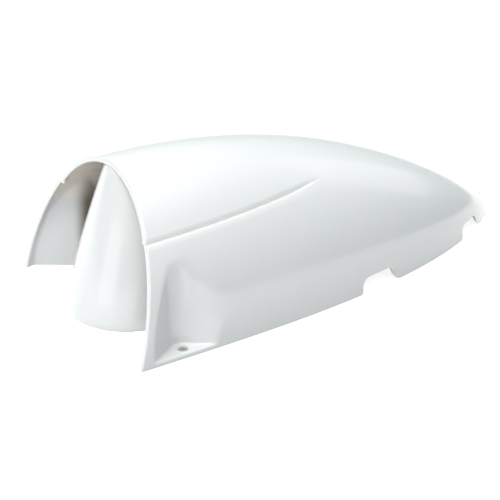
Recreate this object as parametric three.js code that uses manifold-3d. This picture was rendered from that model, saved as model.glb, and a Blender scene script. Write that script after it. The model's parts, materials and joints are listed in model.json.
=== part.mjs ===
/**
 * Low-profile deck ventilator cowl with a spray deflector, a water-trap duct and a rotary shutter.
 *
 * Millimetres, +Z up. The deck is the plane Z = 0, the open mouth faces -X and the tail points to +X.
 * The model is symmetric about the plane Y = 0, apart from the shutter's stop.
 */
import * as THREE from 'three';
import { mergeVertices } from 'three/addons/utils/BufferGeometryUtils.js';
import Module from 'manifold-3d';

const wasm = await Module();
wasm.setup();

// ---------------------------------------------------------------- driving dimensions

// Clearances
const SEAT_GAP = 0.3; // between pieces that sit on or in each other
const RUNNING_GAP = 0.12; // radial, between the pivot pin and the turning shutter

// Hood
const HOOD_LENGTH = 450;
const HOOD_WIDTH = 220;
const HOOD_HEIGHT = 133; // at the crown, the highest point
const HOOD_WALL = 3;
const MOUTH_LEAN = 0.281; // the mouth's edge moves back by this much for each millimetre of height
const TAIL_SOLID = 14; // length of the tail's tip that is moulded solid
const TAIL_FLAT = 0.3; // the tip ends in a tiny flat this far short of a point

// Style step: above it the surface is set in, and the step dies out towards the tail
const STEP_HEIGHT = 88.8; // above the deck, at the mouth
const STEP_RISE = 0.042; // climbs this much for each millimetre towards the tail
const STEP_DEPTH = 2.2;
const STEP_LEDGE = 1.4; // height of the ledge itself
const STEP_BLEND = 24; // height over which the surface above comes back out
const STEP_FULL_END = 165;
const STEP_END = 212;

// Foot pockets, one on each side
const PAD_THICKNESS = 4.2;
const POCKET_CORNER_X = 40; // inner corner of the pad
const POCKET_DEPTH = 19.6; // from the side to that corner
const POCKET_FRONT_X = 14; // where the front facet leaves the side
const POCKET_REAR_X = 67; // where the rear facet leaves the side
const POCKET_EDGE_DEPTH = 2; // from the side to where the facets leave it
const POCKET_LEAN_X = 0.035; // the inner corner's edge leans back and inward as it climbs
const POCKET_LEAN_Y = -0.04;
const POCKET_ROUND = 9;
const POCKET_TOP = 100; // the cutting shape ends here, well above where it leaves the side
const FOOT_SCREW_X = 42.6;
const FOOT_SCREW_INSET = 8.7; // from the side

// Drain notches: [front edge, rear edge, height, top front radius, rear foot radius]
const NOTCHES = [
    { front: 224, rear: 261, height: 15.2, topRadius: 9, footRadius: 11 },
    { front: 368, rear: 396, height: 14, topRadius: 5, footRadius: 13 },
];

// Spray deflector: half of a leaning cone with a swelling side
const CONE_BASE_X = 50;
const CONE_BASE_RADIUS = 55.5;
const CONE_TOP_X = 68;
const CONE_TOP_RADIUS = 31;
const CONE_SWELL = 1.35; // 1 is a straight side
const CONE_WALL = 2.5;
const CONE_BACK_X = 56; // behind this plane the cone is open
const CONE_BACK_LEAN = 0.125;
const SHELF_DROP = 29; // from the crown to the underside of the shelf that the crown screws pass through
const SHELF_THICKNESS = 4;
const SHELF_HALF_WIDTH = 14;
const SHELF_END = 100;
const BOSS_X = [58, 86];
const BOSS_RADIUS = 5.5;
const CONE_FOOT_THICKNESS = 3;
const PEG_BEHIND = 10; // from the cone's back plane to the pegs
const PEG_INSET = 6.5; // from the cone's side at the deck to the pegs
const PEG_RADIUS = 2.7;
const PEG_HEIGHT = 6;

// Duct base
const GASKET_THICKNESS = 2;
const GASKET_INSET = 1.2;
const PLATE_THICKNESS = 3.5;
const PLATE_BEHIND = 2; // from the cone's back plane to the plate's front edge
const PLATE_PEG_MARGIN = 11; // plate outside the pegs
const PLATE_RIM_MARGIN = 18; // plate outside the duct's rim
const PLATE_END_HALF = 13;
const DUCT_X = 150;
const DUCT_BORE = 50; // radius
const DUCT_WALL = 3;
const DUCT_TOP = 50;
const DUCT_RIM_WIDTH = 10; // from the bore to the rim's outside
const DUCT_RIM_HEIGHT = 6;

// Shutter: a fixed grille over a turning disc with the same slots
const SLOT_COUNT = 6;
const SLOT_INNER = 14;
const SLOT_MARGIN = 8; // from the bore to the slots' outer ends
const GRILLE_THICKNESS = 3;
const DISC_THICKNESS = 3;
const DISC_GAP = 0.6; // between the grille and the disc, and between the disc and the bore
const DISC_HUB_RADIUS = 9;
const DISC_HUB_DEPTH = 3.7;
const STOP_INSET = 3; // from the bore to the middle of the stop lug
const STOP_ANGLE = 30; // degrees, of the lug
const STOP_HALF_ANGLE = 3; // half of the lug's width
const PIN_RADIUS = 2.5;
const PIN_HEAD_RADIUS = 5;
const PIN_HEAD_HEIGHT = 0.9;
const WASHER_RADIUS = 7;
const WASHER_THICKNESS = 0.6;
const CLIP_RADIUS = 5.5;
const CLIP_THICKNESS = 0.8;
const PIN_END = 1.4; // the pin's length below its clip

// Knob under the disc
const CUP_INNER = 10.5;
const CUP_OUTER = 15;
const CUP_DEPTH = 11;
const CUP_FLOOR = 3;
const GRIP_LENGTH = 46;
const GRIP_WIDTH = 7;
const GRIP_DEPTH = 20;
const KNOB_SCREW_ANGLES = [30, 210];

// Insect screen and its ring
const SCREEN_THICKNESS = 0.6;
const RING_THICKNESS = 3;
const RING_LIP = 1.5; // from the bore to the ring's inside
const RING_SCREW_INSET = 3.5; // from the rim's outside to the ring screws

// Tail clip: a hook on the plate that holds down the tongue in the hood's tail
const CLIP_LENGTH = 26; // in front of the upright
const CLIP_POST_THICKNESS = 4;
const CLIP_HALF_WIDTH = 11;
const CLIP_BASE_THICKNESS = 2.5;
const HOOK_REACH = 10;
const HOOK_THICKNESS = 3;
const TONGUE_START = 45; // from the tail's tip to the tongue's free end
const TONGUE_ROOT = 12; // from the tail's tip to where the tongue is buried in it
const TONGUE_PLAY = 3; // between the tongue's free end and the upright
const TONGUE_THICKNESS = 3.5;
const TONGUE_HALF_WIDTH = 8;
const TONGUE_LIFT = 3.4; // above the plate

// Fasteners: shank and head radius, then the head's height on a pan head
const DECK_SCREW = { shank: 2.1, head: 4.1 };
const CROWN_SCREW = { shank: 2.0, head: 4.0, height: 2.6, length: 18 };
const RING_SCREW = { shank: 1.5, head: 2.8, height: 2, length: 15 };
const KNOB_SCREW = { shank: 1.2, head: 2.3, length: 9 };
const HOOK_SCREW = { shank: 1.7, head: 3.2, length: 5.8 };

// Facets
const ROUND = 40;
const PIVOT_ROUND = 24;
const SMALL_ROUND = 12;

// ---------------------------------------------------------------- derived heights

const PLATE_BOTTOM = GASKET_THICKNESS + SEAT_GAP;
const PLATE_TOP = PLATE_BOTTOM + PLATE_THICKNESS;
const GRILLE_BOTTOM = DUCT_TOP + SEAT_GAP;
const GRILLE_TOP = GRILLE_BOTTOM + GRILLE_THICKNESS;
const SCREEN_BOTTOM = GRILLE_TOP + SEAT_GAP;
const RING_BOTTOM = SCREEN_BOTTOM + SCREEN_THICKNESS + SEAT_GAP;
const RING_TOP = RING_BOTTOM + RING_THICKNESS;
const DISC_TOP = GRILLE_BOTTOM - DISC_GAP;
const DISC_BOTTOM = DISC_TOP - DISC_THICKNESS;
const HUB_BOTTOM = DISC_BOTTOM - DISC_HUB_DEPTH;
const WASHER_TOP = HUB_BOTTOM - SEAT_GAP;
const CLIP_TOP = WASHER_TOP - WASHER_THICKNESS - SEAT_GAP;
const PIN_BOTTOM = CLIP_TOP - CLIP_THICKNESS - PIN_END;
const SLOT_PITCH = 360 / SLOT_COUNT;
const SHUTTER_TRAVEL = SLOT_PITCH / 2;
const SHELF_HEIGHT = HOOD_HEIGHT - SHELF_DROP;
const SHELF_TOP = SHELF_HEIGHT + SHELF_THICKNESS;
const BOSS_BOTTOM = SHELF_TOP + SEAT_GAP;
const CONE_TOP = HOOD_HEIGHT - HOOD_WALL;
const TONGUE_BOTTOM = PLATE_TOP + TONGUE_LIFT;
const HOOK_BOTTOM = TONGUE_BOTTOM + TONGUE_THICKNESS + SEAT_GAP;
const PEG_X = CONE_BACK_X + PEG_BEHIND;
const PEG_Y = CONE_BASE_RADIUS - PEG_INSET;
const DUCT_RIM_RADIUS = DUCT_BORE + DUCT_RIM_WIDTH;
const PLATE_FRONT = CONE_BACK_X + PLATE_BEHIND;
const PLATE_FRONT_HALF = PEG_Y + PLATE_PEG_MARGIN;
const PLATE_HALF_WIDTH = DUCT_RIM_RADIUS + PLATE_RIM_MARGIN;
const TONGUE_FRONT = HOOD_LENGTH - TONGUE_START;
const CLIP_END = TONGUE_FRONT - TONGUE_PLAY;
const CLIP_POST = CLIP_END - CLIP_POST_THICKNESS;
const CLIP_FRONT = CLIP_POST - CLIP_LENGTH;
const PLATE_END = CLIP_END + 2;
const SLOT_OUTER = DUCT_BORE - SLOT_MARGIN;
const STOP_RADIUS = DUCT_BORE - STOP_INSET;
const RING_INNER = DUCT_BORE + RING_LIP;
const RING_SCREW_CIRCLE = DUCT_RIM_RADIUS - RING_SCREW_INSET;
const FOOT_SCREW_Y = HOOD_WIDTH / 2 - FOOT_SCREW_INSET;
const RING_SCREW_ANGLES = [45, 135, 225, 315];
const SIDES = [
    { name: 'left', sign: 1 },
    { name: 'right', sign: -1 },
];

// ---------------------------------------------------------------- materials

const FINISHES = {
    gelcoat: { color: 0xf2f4f4, roughness: 0.28, metalness: 0 },
    moulding: { color: 0xeceeee, roughness: 0.45, metalness: 0 },
    stainless: { color: 0xb9bcbc, roughness: 0.32, metalness: 1 },
    rubber: { color: 0x2b2c2e, roughness: 0.85, metalness: 0 },
    greyPlastic: { color: 0x8d9294, roughness: 0.5, metalness: 0 },
};

// ---------------------------------------------------------------- solids

/** A closed three.js geometry as a solid that can be cut and joined. */
function solidOf(geometry) {
    const bare = geometry.clone();
    bare.deleteAttribute('normal');
    bare.deleteAttribute('uv');
    const merged = mergeVertices(bare, 1e-4);
    const vertProperties = new Float32Array(merged.attributes.position.array);
    const triVerts = new Uint32Array(merged.index.array);
    return new wasm.Manifold(new wasm.Mesh({ numProp: 3, vertProperties, triVerts }));
}

/** A solid's surface as a three.js geometry with flat facets. */
function geometryOf(solid) {
    const mesh = solid.getMesh();
    const geometry = new THREE.BufferGeometry();
    geometry.setAttribute('position', new THREE.BufferAttribute(new Float32Array(mesh.vertProperties), 3));
    geometry.setIndex(new THREE.BufferAttribute(new Uint32Array(mesh.triVerts), 1));
    return geometry;
}

function joined(solids) {
    return solids.reduce((whole, next) => whole.add(next));
}

/** A profile of [radius, height] points turned about a vertical axis at x, y. */
function turned(profile, x, y, segments = ROUND) {
    const points = profile.map(([radius, height]) => new THREE.Vector2(radius, height));
    const geometry = new THREE.LatheGeometry(points, segments);
    geometry.rotateX(Math.PI / 2);
    geometry.translate(x, y, 0);
    return solidOf(geometry);
}

function cylinder(radius, bottom, top, x, y, segments = ROUND) {
    return turned([[0, bottom], [radius, bottom], [radius, top], [0, top]], x, y, segments);
}

function tube(inner, outer, bottom, top, x, y, segments = ROUND) {
    const profile = [[inner, bottom], [outer, bottom], [outer, top], [inner, top], [inner, bottom]];
    return turned(profile, x, y, segments);
}

function block(xRange, yRange, zRange) {
    const size = [xRange, yRange, zRange].map(([low, high]) => high - low);
    const middle = [xRange, yRange, zRange].map(([low, high]) => (low + high) / 2);
    const geometry = new THREE.BoxGeometry(...size);
    geometry.translate(...middle);
    return solidOf(geometry);
}

function extruded(shape, depth, curveSegments) {
    return new THREE.ExtrudeGeometry(shape, { depth, bevelEnabled: false, curveSegments });
}

/** A shape drawn in the XY plane, raised from bottom to top. */
function raised(shape, bottom, top, curveSegments = 6) {
    const geometry = extruded(shape, top - bottom, curveSegments);
    geometry.translate(0, 0, bottom);
    return solidOf(geometry);
}

/** A shape drawn with x along X and y along Z, run through the whole width. */
function runAcross(shape, halfWidth, curveSegments = 8) {
    const geometry = extruded(shape, 2 * halfWidth, curveSegments);
    geometry.rotateX(Math.PI / 2);
    geometry.translate(0, halfWidth, 0);
    return solidOf(geometry);
}

/** Closed loops of equal length, skinned in order, with a flat or pointed end. */
function skinned(loops) {
    const count = loops[0].length;
    const vertices = loops.flat();
    const indices = [];
    for (let ring = 0; ring < loops.length - 1; ring += 1) {
        for (let k = 0; k < count; k += 1) {
            const a = ring * count + k;
            const b = ring * count + ((k + 1) % count);
            indices.push(a, b, b + count, a, b + count, a + count);
        }
    }
    for (const [ring, flip] of [[0, true], [loops.length - 1, false]]) {
        const centre = new THREE.Vector3();
        loops[ring].forEach((point) => centre.addScaledVector(point, 1 / count));
        const hub = vertices.push(centre) - 1;
        for (let k = 0; k < count; k += 1) {
            const a = ring * count + k;
            const b = ring * count + ((k + 1) % count);
            indices.push(hub, ...(flip ? [b, a] : [a, b]));
        }
    }
    const geometry = new THREE.BufferGeometry();
    const numbers = vertices.flatMap((point) => [point.x, point.y, point.z]);
    geometry.setAttribute('position', new THREE.Float32BufferAttribute(numbers, 3));
    geometry.setIndex(indices);
    return solidOf(geometry);
}

// ---------------------------------------------------------------- fasteners and their holes

/** The hole for a countersunk screw whose head is flush with top. */
function countersunkHole(screw, x, y, top, bottom) {
    const bore = screw.shank + SEAT_GAP;
    const mouth = screw.head + SEAT_GAP;
    const open = top + 5;
    const neck = top - mouth + bore;
    const profile = [[0, bottom], [bore, bottom], [bore, neck], [mouth, top], [mouth, open], [0, open]];
    return turned(profile, x, y, SMALL_ROUND);
}

/** Two crossed slots in the top of a screw's head. */
function crossRecess(screw, x, y, top) {
    const long = screw.head * 0.55;
    const narrow = screw.head * 0.13;
    const floor = top - screw.head * 0.3;
    const alongX = block([x - long, x + long], [y - narrow, y + narrow], [floor, top + 1]);
    const alongY = block([x - narrow, x + narrow], [y - long, y + long], [floor, top + 1]);
    return alongX.add(alongY);
}

function countersunkScrew(screw, x, y, top, bottom) {
    const under = top - screw.head + screw.shank;
    const profile = [[0, bottom], [screw.shank, bottom], [screw.shank, under], [screw.head, top], [0, top]];
    return turned(profile, x, y, SMALL_ROUND).subtract(crossRecess(screw, x, y, top));
}

/** A pan head screw whose head sits on the face at seat and points up. */
function panScrew(screw, x, y, seat) {
    const top = seat + screw.height;
    const profile = [
        [0, seat - screw.length],
        [screw.shank, seat - screw.length],
        [screw.shank, seat],
        [screw.head, seat],
        [screw.head, seat + screw.height * 0.55],
        [screw.head * 0.7, top],
        [0, top],
    ];
    return turned(profile, x, y, SMALL_ROUND).subtract(crossRecess(screw, x, y, top));
}

// ---------------------------------------------------------------- hood surface

/** Half of the hood's width at the deck, at a station along its length. */
function halfWidthAt(x) {
    const along = THREE.MathUtils.clamp(x / HOOD_LENGTH, 0, 1);
    return (HOOD_WIDTH / 2) * (1 - along ** 2.97) ** (1 / 1.447);
}

/** The hood's height at a station: it swells behind the mouth and falls to the tail. */
function heightAt(x) {
    const along = THREE.MathUtils.clamp(x / HOOD_LENGTH, 0, 1);
    const mouthHeight = HOOD_HEIGHT * 0.9695;
    return mouthHeight * (1 + 0.793 * along) * (1 - along ** 1.293) ** (1 / 1.11);
}

/** How square the section is: 2 is an ellipse. */
function squarenessAt(x) {
    const along = THREE.MathUtils.clamp(x / HOOD_LENGTH, 0, 1);
    return 1.954 + 0.246 * along;
}

/** A point on the smooth surface: turn runs from 0 at the left edge, over the crown, to PI. */
function surfacePoint(x, turn) {
    const power = 2 / squarenessAt(x);
    const across = Math.cos(turn);
    const y = halfWidthAt(x) * Math.sign(across) * Math.abs(across) ** power;
    const z = heightAt(x) * Math.abs(Math.sin(turn)) ** power;
    return new THREE.Vector3(x, y, z);
}

/** The outward direction of the smooth surface. */
function surfaceNormal(x, turn) {
    const dx = 0.5;
    const dt = 0.01;
    const safeTurn = THREE.MathUtils.clamp(turn, dt, Math.PI - dt);
    const alongX = surfacePoint(x + dx, safeTurn).sub(surfacePoint(x - dx, safeTurn));
    const around = surfacePoint(x, safeTurn - dt).sub(surfacePoint(x, safeTurn + dt));
    return around.cross(alongX).normalize().negate();
}

/** The height of the style step at a station, kept below the crown where the hood is low. */
function stepHeightAt(x) {
    return Math.min(STEP_HEIGHT + STEP_RISE * x, 0.83 * heightAt(x));
}

/** How far the surface is set in at a height above the step's lower edge. */
function stepInset(x, above) {
    const fade = 1 - THREE.MathUtils.smoothstep(x, STEP_FULL_END, STEP_END);
    const rise = 1 - THREE.MathUtils.smoothstep(above, STEP_LEDGE, STEP_LEDGE + STEP_BLEND);
    return STEP_DEPTH * fade * rise * (above > 0 ? 1 : 0);
}

/** One section of the hood, inset by a wall, as points from the left edge to the right one. */
function section(x, wall) {
    const lowRows = 6;
    const highRows = 10;
    const height = heightAt(x);
    const power = squarenessAt(x) / 2;
    const turnAt = (z) => Math.asin(Math.min(1, z / height) ** power);
    const stepZ = stepHeightAt(x);
    const ledge = Math.min(STEP_LEDGE, 0.3 * (height - stepZ));
    const low = turnAt(stepZ);
    const high = turnAt(stepZ + ledge);
    const turns = [];
    for (let row = 0; row <= lowRows; row += 1) {
        turns.push([low * (row / lowRows), 0]);
    }
    for (let row = 0; row <= highRows; row += 1) {
        const turn = high + (Math.PI / 2 - high) * (row / highRows);
        const above = Math.max(surfacePoint(x, turn).z - stepZ, 1e-3);
        turns.push([turn, stepInset(x, above)]);
    }
    const half = turns.map(([turn, inset]) => {
        const point = surfacePoint(x, turn);
        return point.addScaledVector(surfaceNormal(x, turn), -(wall + inset));
    });
    half[0].z = 0;
    const otherHalf = half.slice(0, -1).reverse();
    return [...half, ...otherHalf.map((point) => new THREE.Vector3(point.x, -point.y, point.z))];
}

/** Stations along the hood, closer together where the tail turns down. */
function stations(first, last, count) {
    const list = [first];
    for (let k = 1; k <= count; k += 1) {
        list.push(last * Math.sin((Math.PI / 2) * (k / count)));
    }
    return list;
}

/** Everything inside the hood's outer surface, run forward past the mouth. */
function hoodBody() {
    const loops = stations(-12, HOOD_LENGTH - TAIL_FLAT, 26).map((x) => section(x, 0));
    return skinned(loops);
}

/** The space at a distance inside the hood's outer surface, run forward and below the deck. */
function hoodSpace(distance) {
    const loops = stations(-14, HOOD_LENGTH - TAIL_SOLID, 22).map((x) => {
        const loop = section(x, distance);
        const first = loop[0].clone().setZ(-6);
        const last = loop[loop.length - 1].clone().setZ(-6);
        return [first, ...loop, last];
    });
    return skinned(loops);
}

/** Everything in front of the leaning mouth. */
function mouthCut() {
    const shape = new THREE.Shape();
    const top = HOOD_HEIGHT + 20;
    shape.moveTo(-60, -20);
    shape.lineTo(-20 * MOUTH_LEAN, -20);
    shape.lineTo(top * MOUTH_LEAN, top);
    shape.lineTo(-60, top);
    return runAcross(shape, HOOD_WIDTH);
}

/** A drain notch: upright and rounded in front, flared out to the deck behind. */
function notchCut({ front, rear, height, topRadius, footRadius }) {
    const shape = new THREE.Shape();
    shape.moveTo(front - 3, -5);
    shape.lineTo(front - 3, 0);
    shape.quadraticCurveTo(front, 0, front, 3);
    shape.lineTo(front, height - topRadius);
    shape.quadraticCurveTo(front, height, front + topRadius, height);
    shape.lineTo(rear - 5, height);
    shape.quadraticCurveTo(rear - 3, height, rear - 2, height - 3);
    shape.quadraticCurveTo(rear + footRadius * 0.3, 0.5, rear + footRadius, 0);
    shape.lineTo(rear + footRadius, -5);
    return runAcross(shape, HOOD_WIDTH);
}

/** A wedge between the two facet directions of a foot pocket, moved into the hood by a wall. */
function pocketWedge(side, wall, bottom) {
    const corner = new THREE.Vector2(POCKET_CORNER_X, side * (HOOD_WIDTH / 2 - POCKET_DEPTH));
    const edgeY = side * (HOOD_WIDTH / 2 - POCKET_EDGE_DEPTH);
    const toFront = new THREE.Vector2(POCKET_FRONT_X, edgeY).sub(corner).normalize();
    const toRear = new THREE.Vector2(POCKET_REAR_X, edgeY).sub(corner).normalize();
    const bisector = toFront.clone().add(toRear).normalize();
    const halfAngle = Math.acos(bisector.dot(toFront));
    corner.addScaledVector(bisector, -wall / Math.sin(halfAngle));
    const reach = 60;
    const start = corner.clone().addScaledVector(toFront, POCKET_ROUND);
    const end = corner.clone().addScaledVector(toRear, POCKET_ROUND);
    const farFront = corner.clone().addScaledVector(toFront, reach);
    const farRear = corner.clone().addScaledVector(toRear, reach);
    const shape = new THREE.Shape();
    shape.moveTo(farFront.x, farFront.y);
    shape.lineTo(start.x, start.y);
    shape.quadraticCurveTo(corner.x, corner.y, end.x, end.y);
    shape.lineTo(farRear.x, farRear.y);
    shape.lineTo(farRear.x, side * HOOD_WIDTH);
    shape.lineTo(farFront.x, side * HOOD_WIDTH);
    const geometry = extruded(shape, POCKET_TOP - bottom, 6);
    geometry.translate(0, 0, bottom - PAD_THICKNESS);
    const lean = new THREE.Matrix4().makeShear(0, 0, 0, 0, POCKET_LEAN_X, side * POCKET_LEAN_Y);
    geometry.applyMatrix4(lean);
    geometry.translate(0, 0, PAD_THICKNESS);
    return solidOf(geometry);
}

/** A post under the crown that a deflector screw turns into. */
function crownBoss(x) {
    return cylinder(BOSS_RADIUS, BOSS_BOTTOM, HOOD_HEIGHT, x, 0, SMALL_ROUND);
}

function crownBore(x) {
    const depth = SHELF_HEIGHT - SEAT_GAP + CROWN_SCREW.length + 1;
    return cylinder(CROWN_SCREW.shank + SEAT_GAP, SHELF_HEIGHT, depth, x, 0, SMALL_ROUND);
}

function hoodShell() {
    const body = hoodBody();
    const pockets = SIDES.map(({ sign }) => pocketWedge(sign, HOOD_WALL, 0));
    const tongue = block(
        [TONGUE_FRONT, HOOD_LENGTH - TONGUE_ROOT],
        [-TONGUE_HALF_WIDTH, TONGUE_HALF_WIDTH],
        [TONGUE_BOTTOM, TONGUE_BOTTOM + TONGUE_THICKNESS],
    );
    const inside = joined([...pockets, tongue, ...BOSS_X.map(crownBoss)]).intersect(body);
    let shell = body.subtract(hoodSpace(HOOD_WALL)).add(inside);
    const cuts = [
        mouthCut(),
        ...NOTCHES.map(notchCut),
        ...SIDES.map(({ sign }) => pocketWedge(sign, 0, PAD_THICKNESS)),
        ...SIDES.map(({ sign }) => (
            countersunkHole(DECK_SCREW, FOOT_SCREW_X, sign * FOOT_SCREW_Y, PAD_THICKNESS, -5)
        )),
        ...BOSS_X.map(crownBore),
    ];
    shell = shell.subtract(joined(cuts));
    return shell.intersect(block([-60, HOOD_LENGTH + 60], [-HOOD_WIDTH, HOOD_WIDTH], [0, HOOD_HEIGHT + 60]));
}

// ---------------------------------------------------------------- deflector cone

/** The cone's section at a height, inset by a wall. */
function coneLoop(z, wall) {
    const share = THREE.MathUtils.clamp(z / CONE_TOP, 0, 1);
    const centre = CONE_BASE_X + (CONE_TOP_X - CONE_BASE_X) * share;
    const radius = CONE_TOP_RADIUS + (CONE_BASE_RADIUS - CONE_TOP_RADIUS) * (1 - share ** CONE_SWELL) - wall;
    const loop = [];
    for (let k = 0; k < ROUND; k += 1) {
        const angle = (2 * Math.PI * k) / ROUND;
        loop.push(new THREE.Vector3(centre + radius * Math.cos(angle), radius * Math.sin(angle), z));
    }
    return loop;
}

function coneSolid(wall, bottom) {
    const rows = 7;
    const loops = [coneLoop(bottom, wall)];
    for (let row = 1; row <= rows; row += 1) {
        loops.push(coneLoop((CONE_TOP * row) / rows, wall));
    }
    loops.push(coneLoop(HOOD_HEIGHT + 6, wall));
    return skinned(loops);
}

/** Everything behind the plane where the cone ends. */
function coneBackCut() {
    const shape = new THREE.Shape();
    const top = HOOD_HEIGHT + 20;
    shape.moveTo(CONE_BACK_X - 20 * CONE_BACK_LEAN, -20);
    shape.lineTo(HOOD_LENGTH, -20);
    shape.lineTo(HOOD_LENGTH, top);
    shape.lineTo(CONE_BACK_X + top * CONE_BACK_LEAN, top);
    return runAcross(shape, HOOD_WIDTH);
}

function deflectorCone() {
    const wall = coneSolid(0, 0).subtract(coneSolid(CONE_WALL, -5)).subtract(coneBackCut());
    const shelf = block([20, SHELF_END], [-SHELF_HALF_WIDTH, SHELF_HALF_WIDTH], [SHELF_HEIGHT, SHELF_TOP]);
    const behind = block([CONE_TOP_X, SHELF_END], [-SHELF_HALF_WIDTH, SHELF_HALF_WIDTH], [0, HOOD_HEIGHT]);
    const insideCone = coneSolid(CONE_WALL / 2, 0).add(behind);
    const footBottom = PLATE_TOP + SEAT_GAP;
    const footOuter = CONE_BASE_RADIUS - CONE_WALL / 2;
    const behindWall = block([CONE_BACK_X - 6, HOOD_LENGTH], [-HOOD_WIDTH, HOOD_WIDTH], [0, HOOD_HEIGHT]);
    const feet = SIDES.map(({ sign }) => {
        const across = [sign * (PEG_Y - 6), sign * footOuter].sort((a, b) => a - b);
        const foot = block([PEG_X - 19, PEG_X + 7], across, [footBottom, footBottom + CONE_FOOT_THICKNESS]);
        const inCone = foot.intersect(coneSolid(CONE_WALL / 2, 0));
        const tab = foot.intersect(behindWall);
        const hole = cylinder(PEG_RADIUS + SEAT_GAP, 0, HOOD_HEIGHT, PEG_X, sign * PEG_Y, SMALL_ROUND);
        return inCone.add(tab).subtract(hole);
    });
    const shelfHoles = BOSS_X.map((x) => (
        cylinder(CROWN_SCREW.shank + SEAT_GAP, SHELF_HEIGHT - 5, SHELF_TOP + 5, x, 0, SMALL_ROUND)
    ));
    const whole = joined([wall, shelf.intersect(insideCone), ...feet]).subtract(joined(shelfHoles));
    return whole.intersect(hoodSpace(HOOD_WALL + SEAT_GAP));
}

/** The crown screws point up, so each is a pan screw turned over. */
function crownScrew(x) {
    const upright = panScrew(CROWN_SCREW, 0, 0, 0);
    const geometry = geometryOf(upright);
    geometry.rotateX(Math.PI);
    geometry.translate(x, 0, SHELF_HEIGHT - SEAT_GAP);
    return solidOf(geometry);
}

// ---------------------------------------------------------------- duct base

/** The plate's outline: a blunt front, widest beside the duct, tapering to the tail. */
function plateOutline(inset) {
    const half = [
        [PLATE_FRONT + inset, PLATE_FRONT_HALF - 8 - inset],
        [PLATE_FRONT + 10, PLATE_FRONT_HALF + 4 - inset],
        [DUCT_X - 38, PLATE_HALF_WIDTH - 2 - inset],
        [DUCT_X, PLATE_HALF_WIDTH - inset],
        [DUCT_X + 40, PLATE_HALF_WIDTH - 4 - inset],
        [PLATE_END - 100, PLATE_HALF_WIDTH * 0.55 - inset],
        [PLATE_END - inset, PLATE_END_HALF - inset],
    ].map(([x, y]) => new THREE.Vector2(x, y));
    const curve = new THREE.SplineCurve(half);
    const left = curve.getPoints(22);
    const right = left.map((point) => new THREE.Vector2(point.x, -point.y)).reverse();
    return new THREE.Shape([...left, ...right]);
}

const BASE_SCREW_PLACES = [
    [PLATE_FRONT + 22, PLATE_FRONT_HALF - 4],
    [DUCT_X, (DUCT_RIM_RADIUS + PLATE_HALF_WIDTH) / 2 + 1],
    [DUCT_X + 118, PLATE_HALF_WIDTH * 0.48],
];

function baseScrews() {
    return BASE_SCREW_PLACES.flatMap(([x, y], row) => SIDES.map(({ name, sign }) => (
        { name: `base_screw_${name}_${row + 1}`, x, y: sign * y }
    )));
}

function deckGasket() {
    const sheet = raised(plateOutline(GASKET_INSET), 0, GASKET_THICKNESS);
    const bore = cylinder(DUCT_BORE, -1, GASKET_THICKNESS + 1, DUCT_X, 0);
    const holes = baseScrews().map(({ x, y }) => (
        cylinder(DECK_SCREW.shank + SEAT_GAP, -1, GASKET_THICKNESS + 1, x, y, SMALL_ROUND)
    ));
    return sheet.subtract(joined([bore, ...holes]));
}

function hookScrewPlaces() {
    const x = (CLIP_FRONT + CLIP_POST) / 2 - 2;
    return SIDES.map(({ name, sign }) => ({ name: `tail_clip_screw_${name}`, x, y: sign * 6 }));
}

function ductBase() {
    const plate = raised(plateOutline(0), PLATE_BOTTOM, PLATE_TOP);
    const outer = DUCT_BORE + DUCT_WALL;
    const shoulder = DUCT_TOP - DUCT_RIM_HEIGHT;
    const pipe = turned([
        [DUCT_BORE - 1, PLATE_BOTTOM],
        [outer + 4, PLATE_BOTTOM],
        [outer + 4, PLATE_TOP],
        [outer, PLATE_TOP + 4],
        [outer, shoulder - (DUCT_RIM_RADIUS - outer)],
        [DUCT_RIM_RADIUS, shoulder],
        [DUCT_RIM_RADIUS, DUCT_TOP],
        [DUCT_BORE - 1, DUCT_TOP],
        [DUCT_BORE - 1, PLATE_BOTTOM],
    ], DUCT_X, 0);
    const pegs = SIDES.map(({ sign }) => (
        cylinder(PEG_RADIUS, PLATE_BOTTOM, PLATE_TOP + PEG_HEIGHT, PEG_X, sign * PEG_Y, SMALL_ROUND)
    ));
    const cuts = [
        cylinder(DUCT_BORE, -1, DUCT_TOP + 1, DUCT_X, 0),
        ...baseScrews().map(({ x, y }) => countersunkHole(DECK_SCREW, x, y, PLATE_TOP, -1)),
        ...hookScrewPlaces().map(({ x, y }) => (
            cylinder(HOOK_SCREW.shank + SEAT_GAP, -1, PLATE_TOP + 1, x, y, SMALL_ROUND)
        )),
        ...ringScrewHoles(RING_TOP - RING_SCREW.length, DUCT_TOP),
    ];
    return joined([plate, pipe, ...pegs]).subtract(joined(cuts));
}

function tailClip() {
    const bottom = PLATE_TOP + SEAT_GAP;
    const top = bottom + CLIP_BASE_THICKNESS;
    const across = [-CLIP_HALF_WIDTH, CLIP_HALF_WIDTH];
    const base = block([CLIP_FRONT, CLIP_END], across, [bottom, top]);
    const hookTop = HOOK_BOTTOM + HOOK_THICKNESS;
    const post = block([CLIP_POST, CLIP_END], across, [bottom, hookTop]);
    const hook = block([CLIP_POST, CLIP_END + HOOK_REACH], across, [HOOK_BOTTOM, hookTop]);
    const holes = hookScrewPlaces().map(({ x, y }) => countersunkHole(HOOK_SCREW, x, y, top, 0));
    return joined([base, post, hook]).subtract(joined(holes));
}

// ---------------------------------------------------------------- shutter

/** A point on a circle about the duct's axis, by its angle in degrees. */
function aboutDuct(radius, degrees) {
    const angle = THREE.MathUtils.degToRad(degrees);
    return { x: DUCT_X + radius * Math.cos(angle), y: radius * Math.sin(angle) };
}

function ringScrewPlaces() {
    return RING_SCREW_ANGLES.map((degrees, row) => (
        { name: `ring_screw_${row + 1}`, ...aboutDuct(RING_SCREW_CIRCLE, degrees) }
    ));
}

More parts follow.
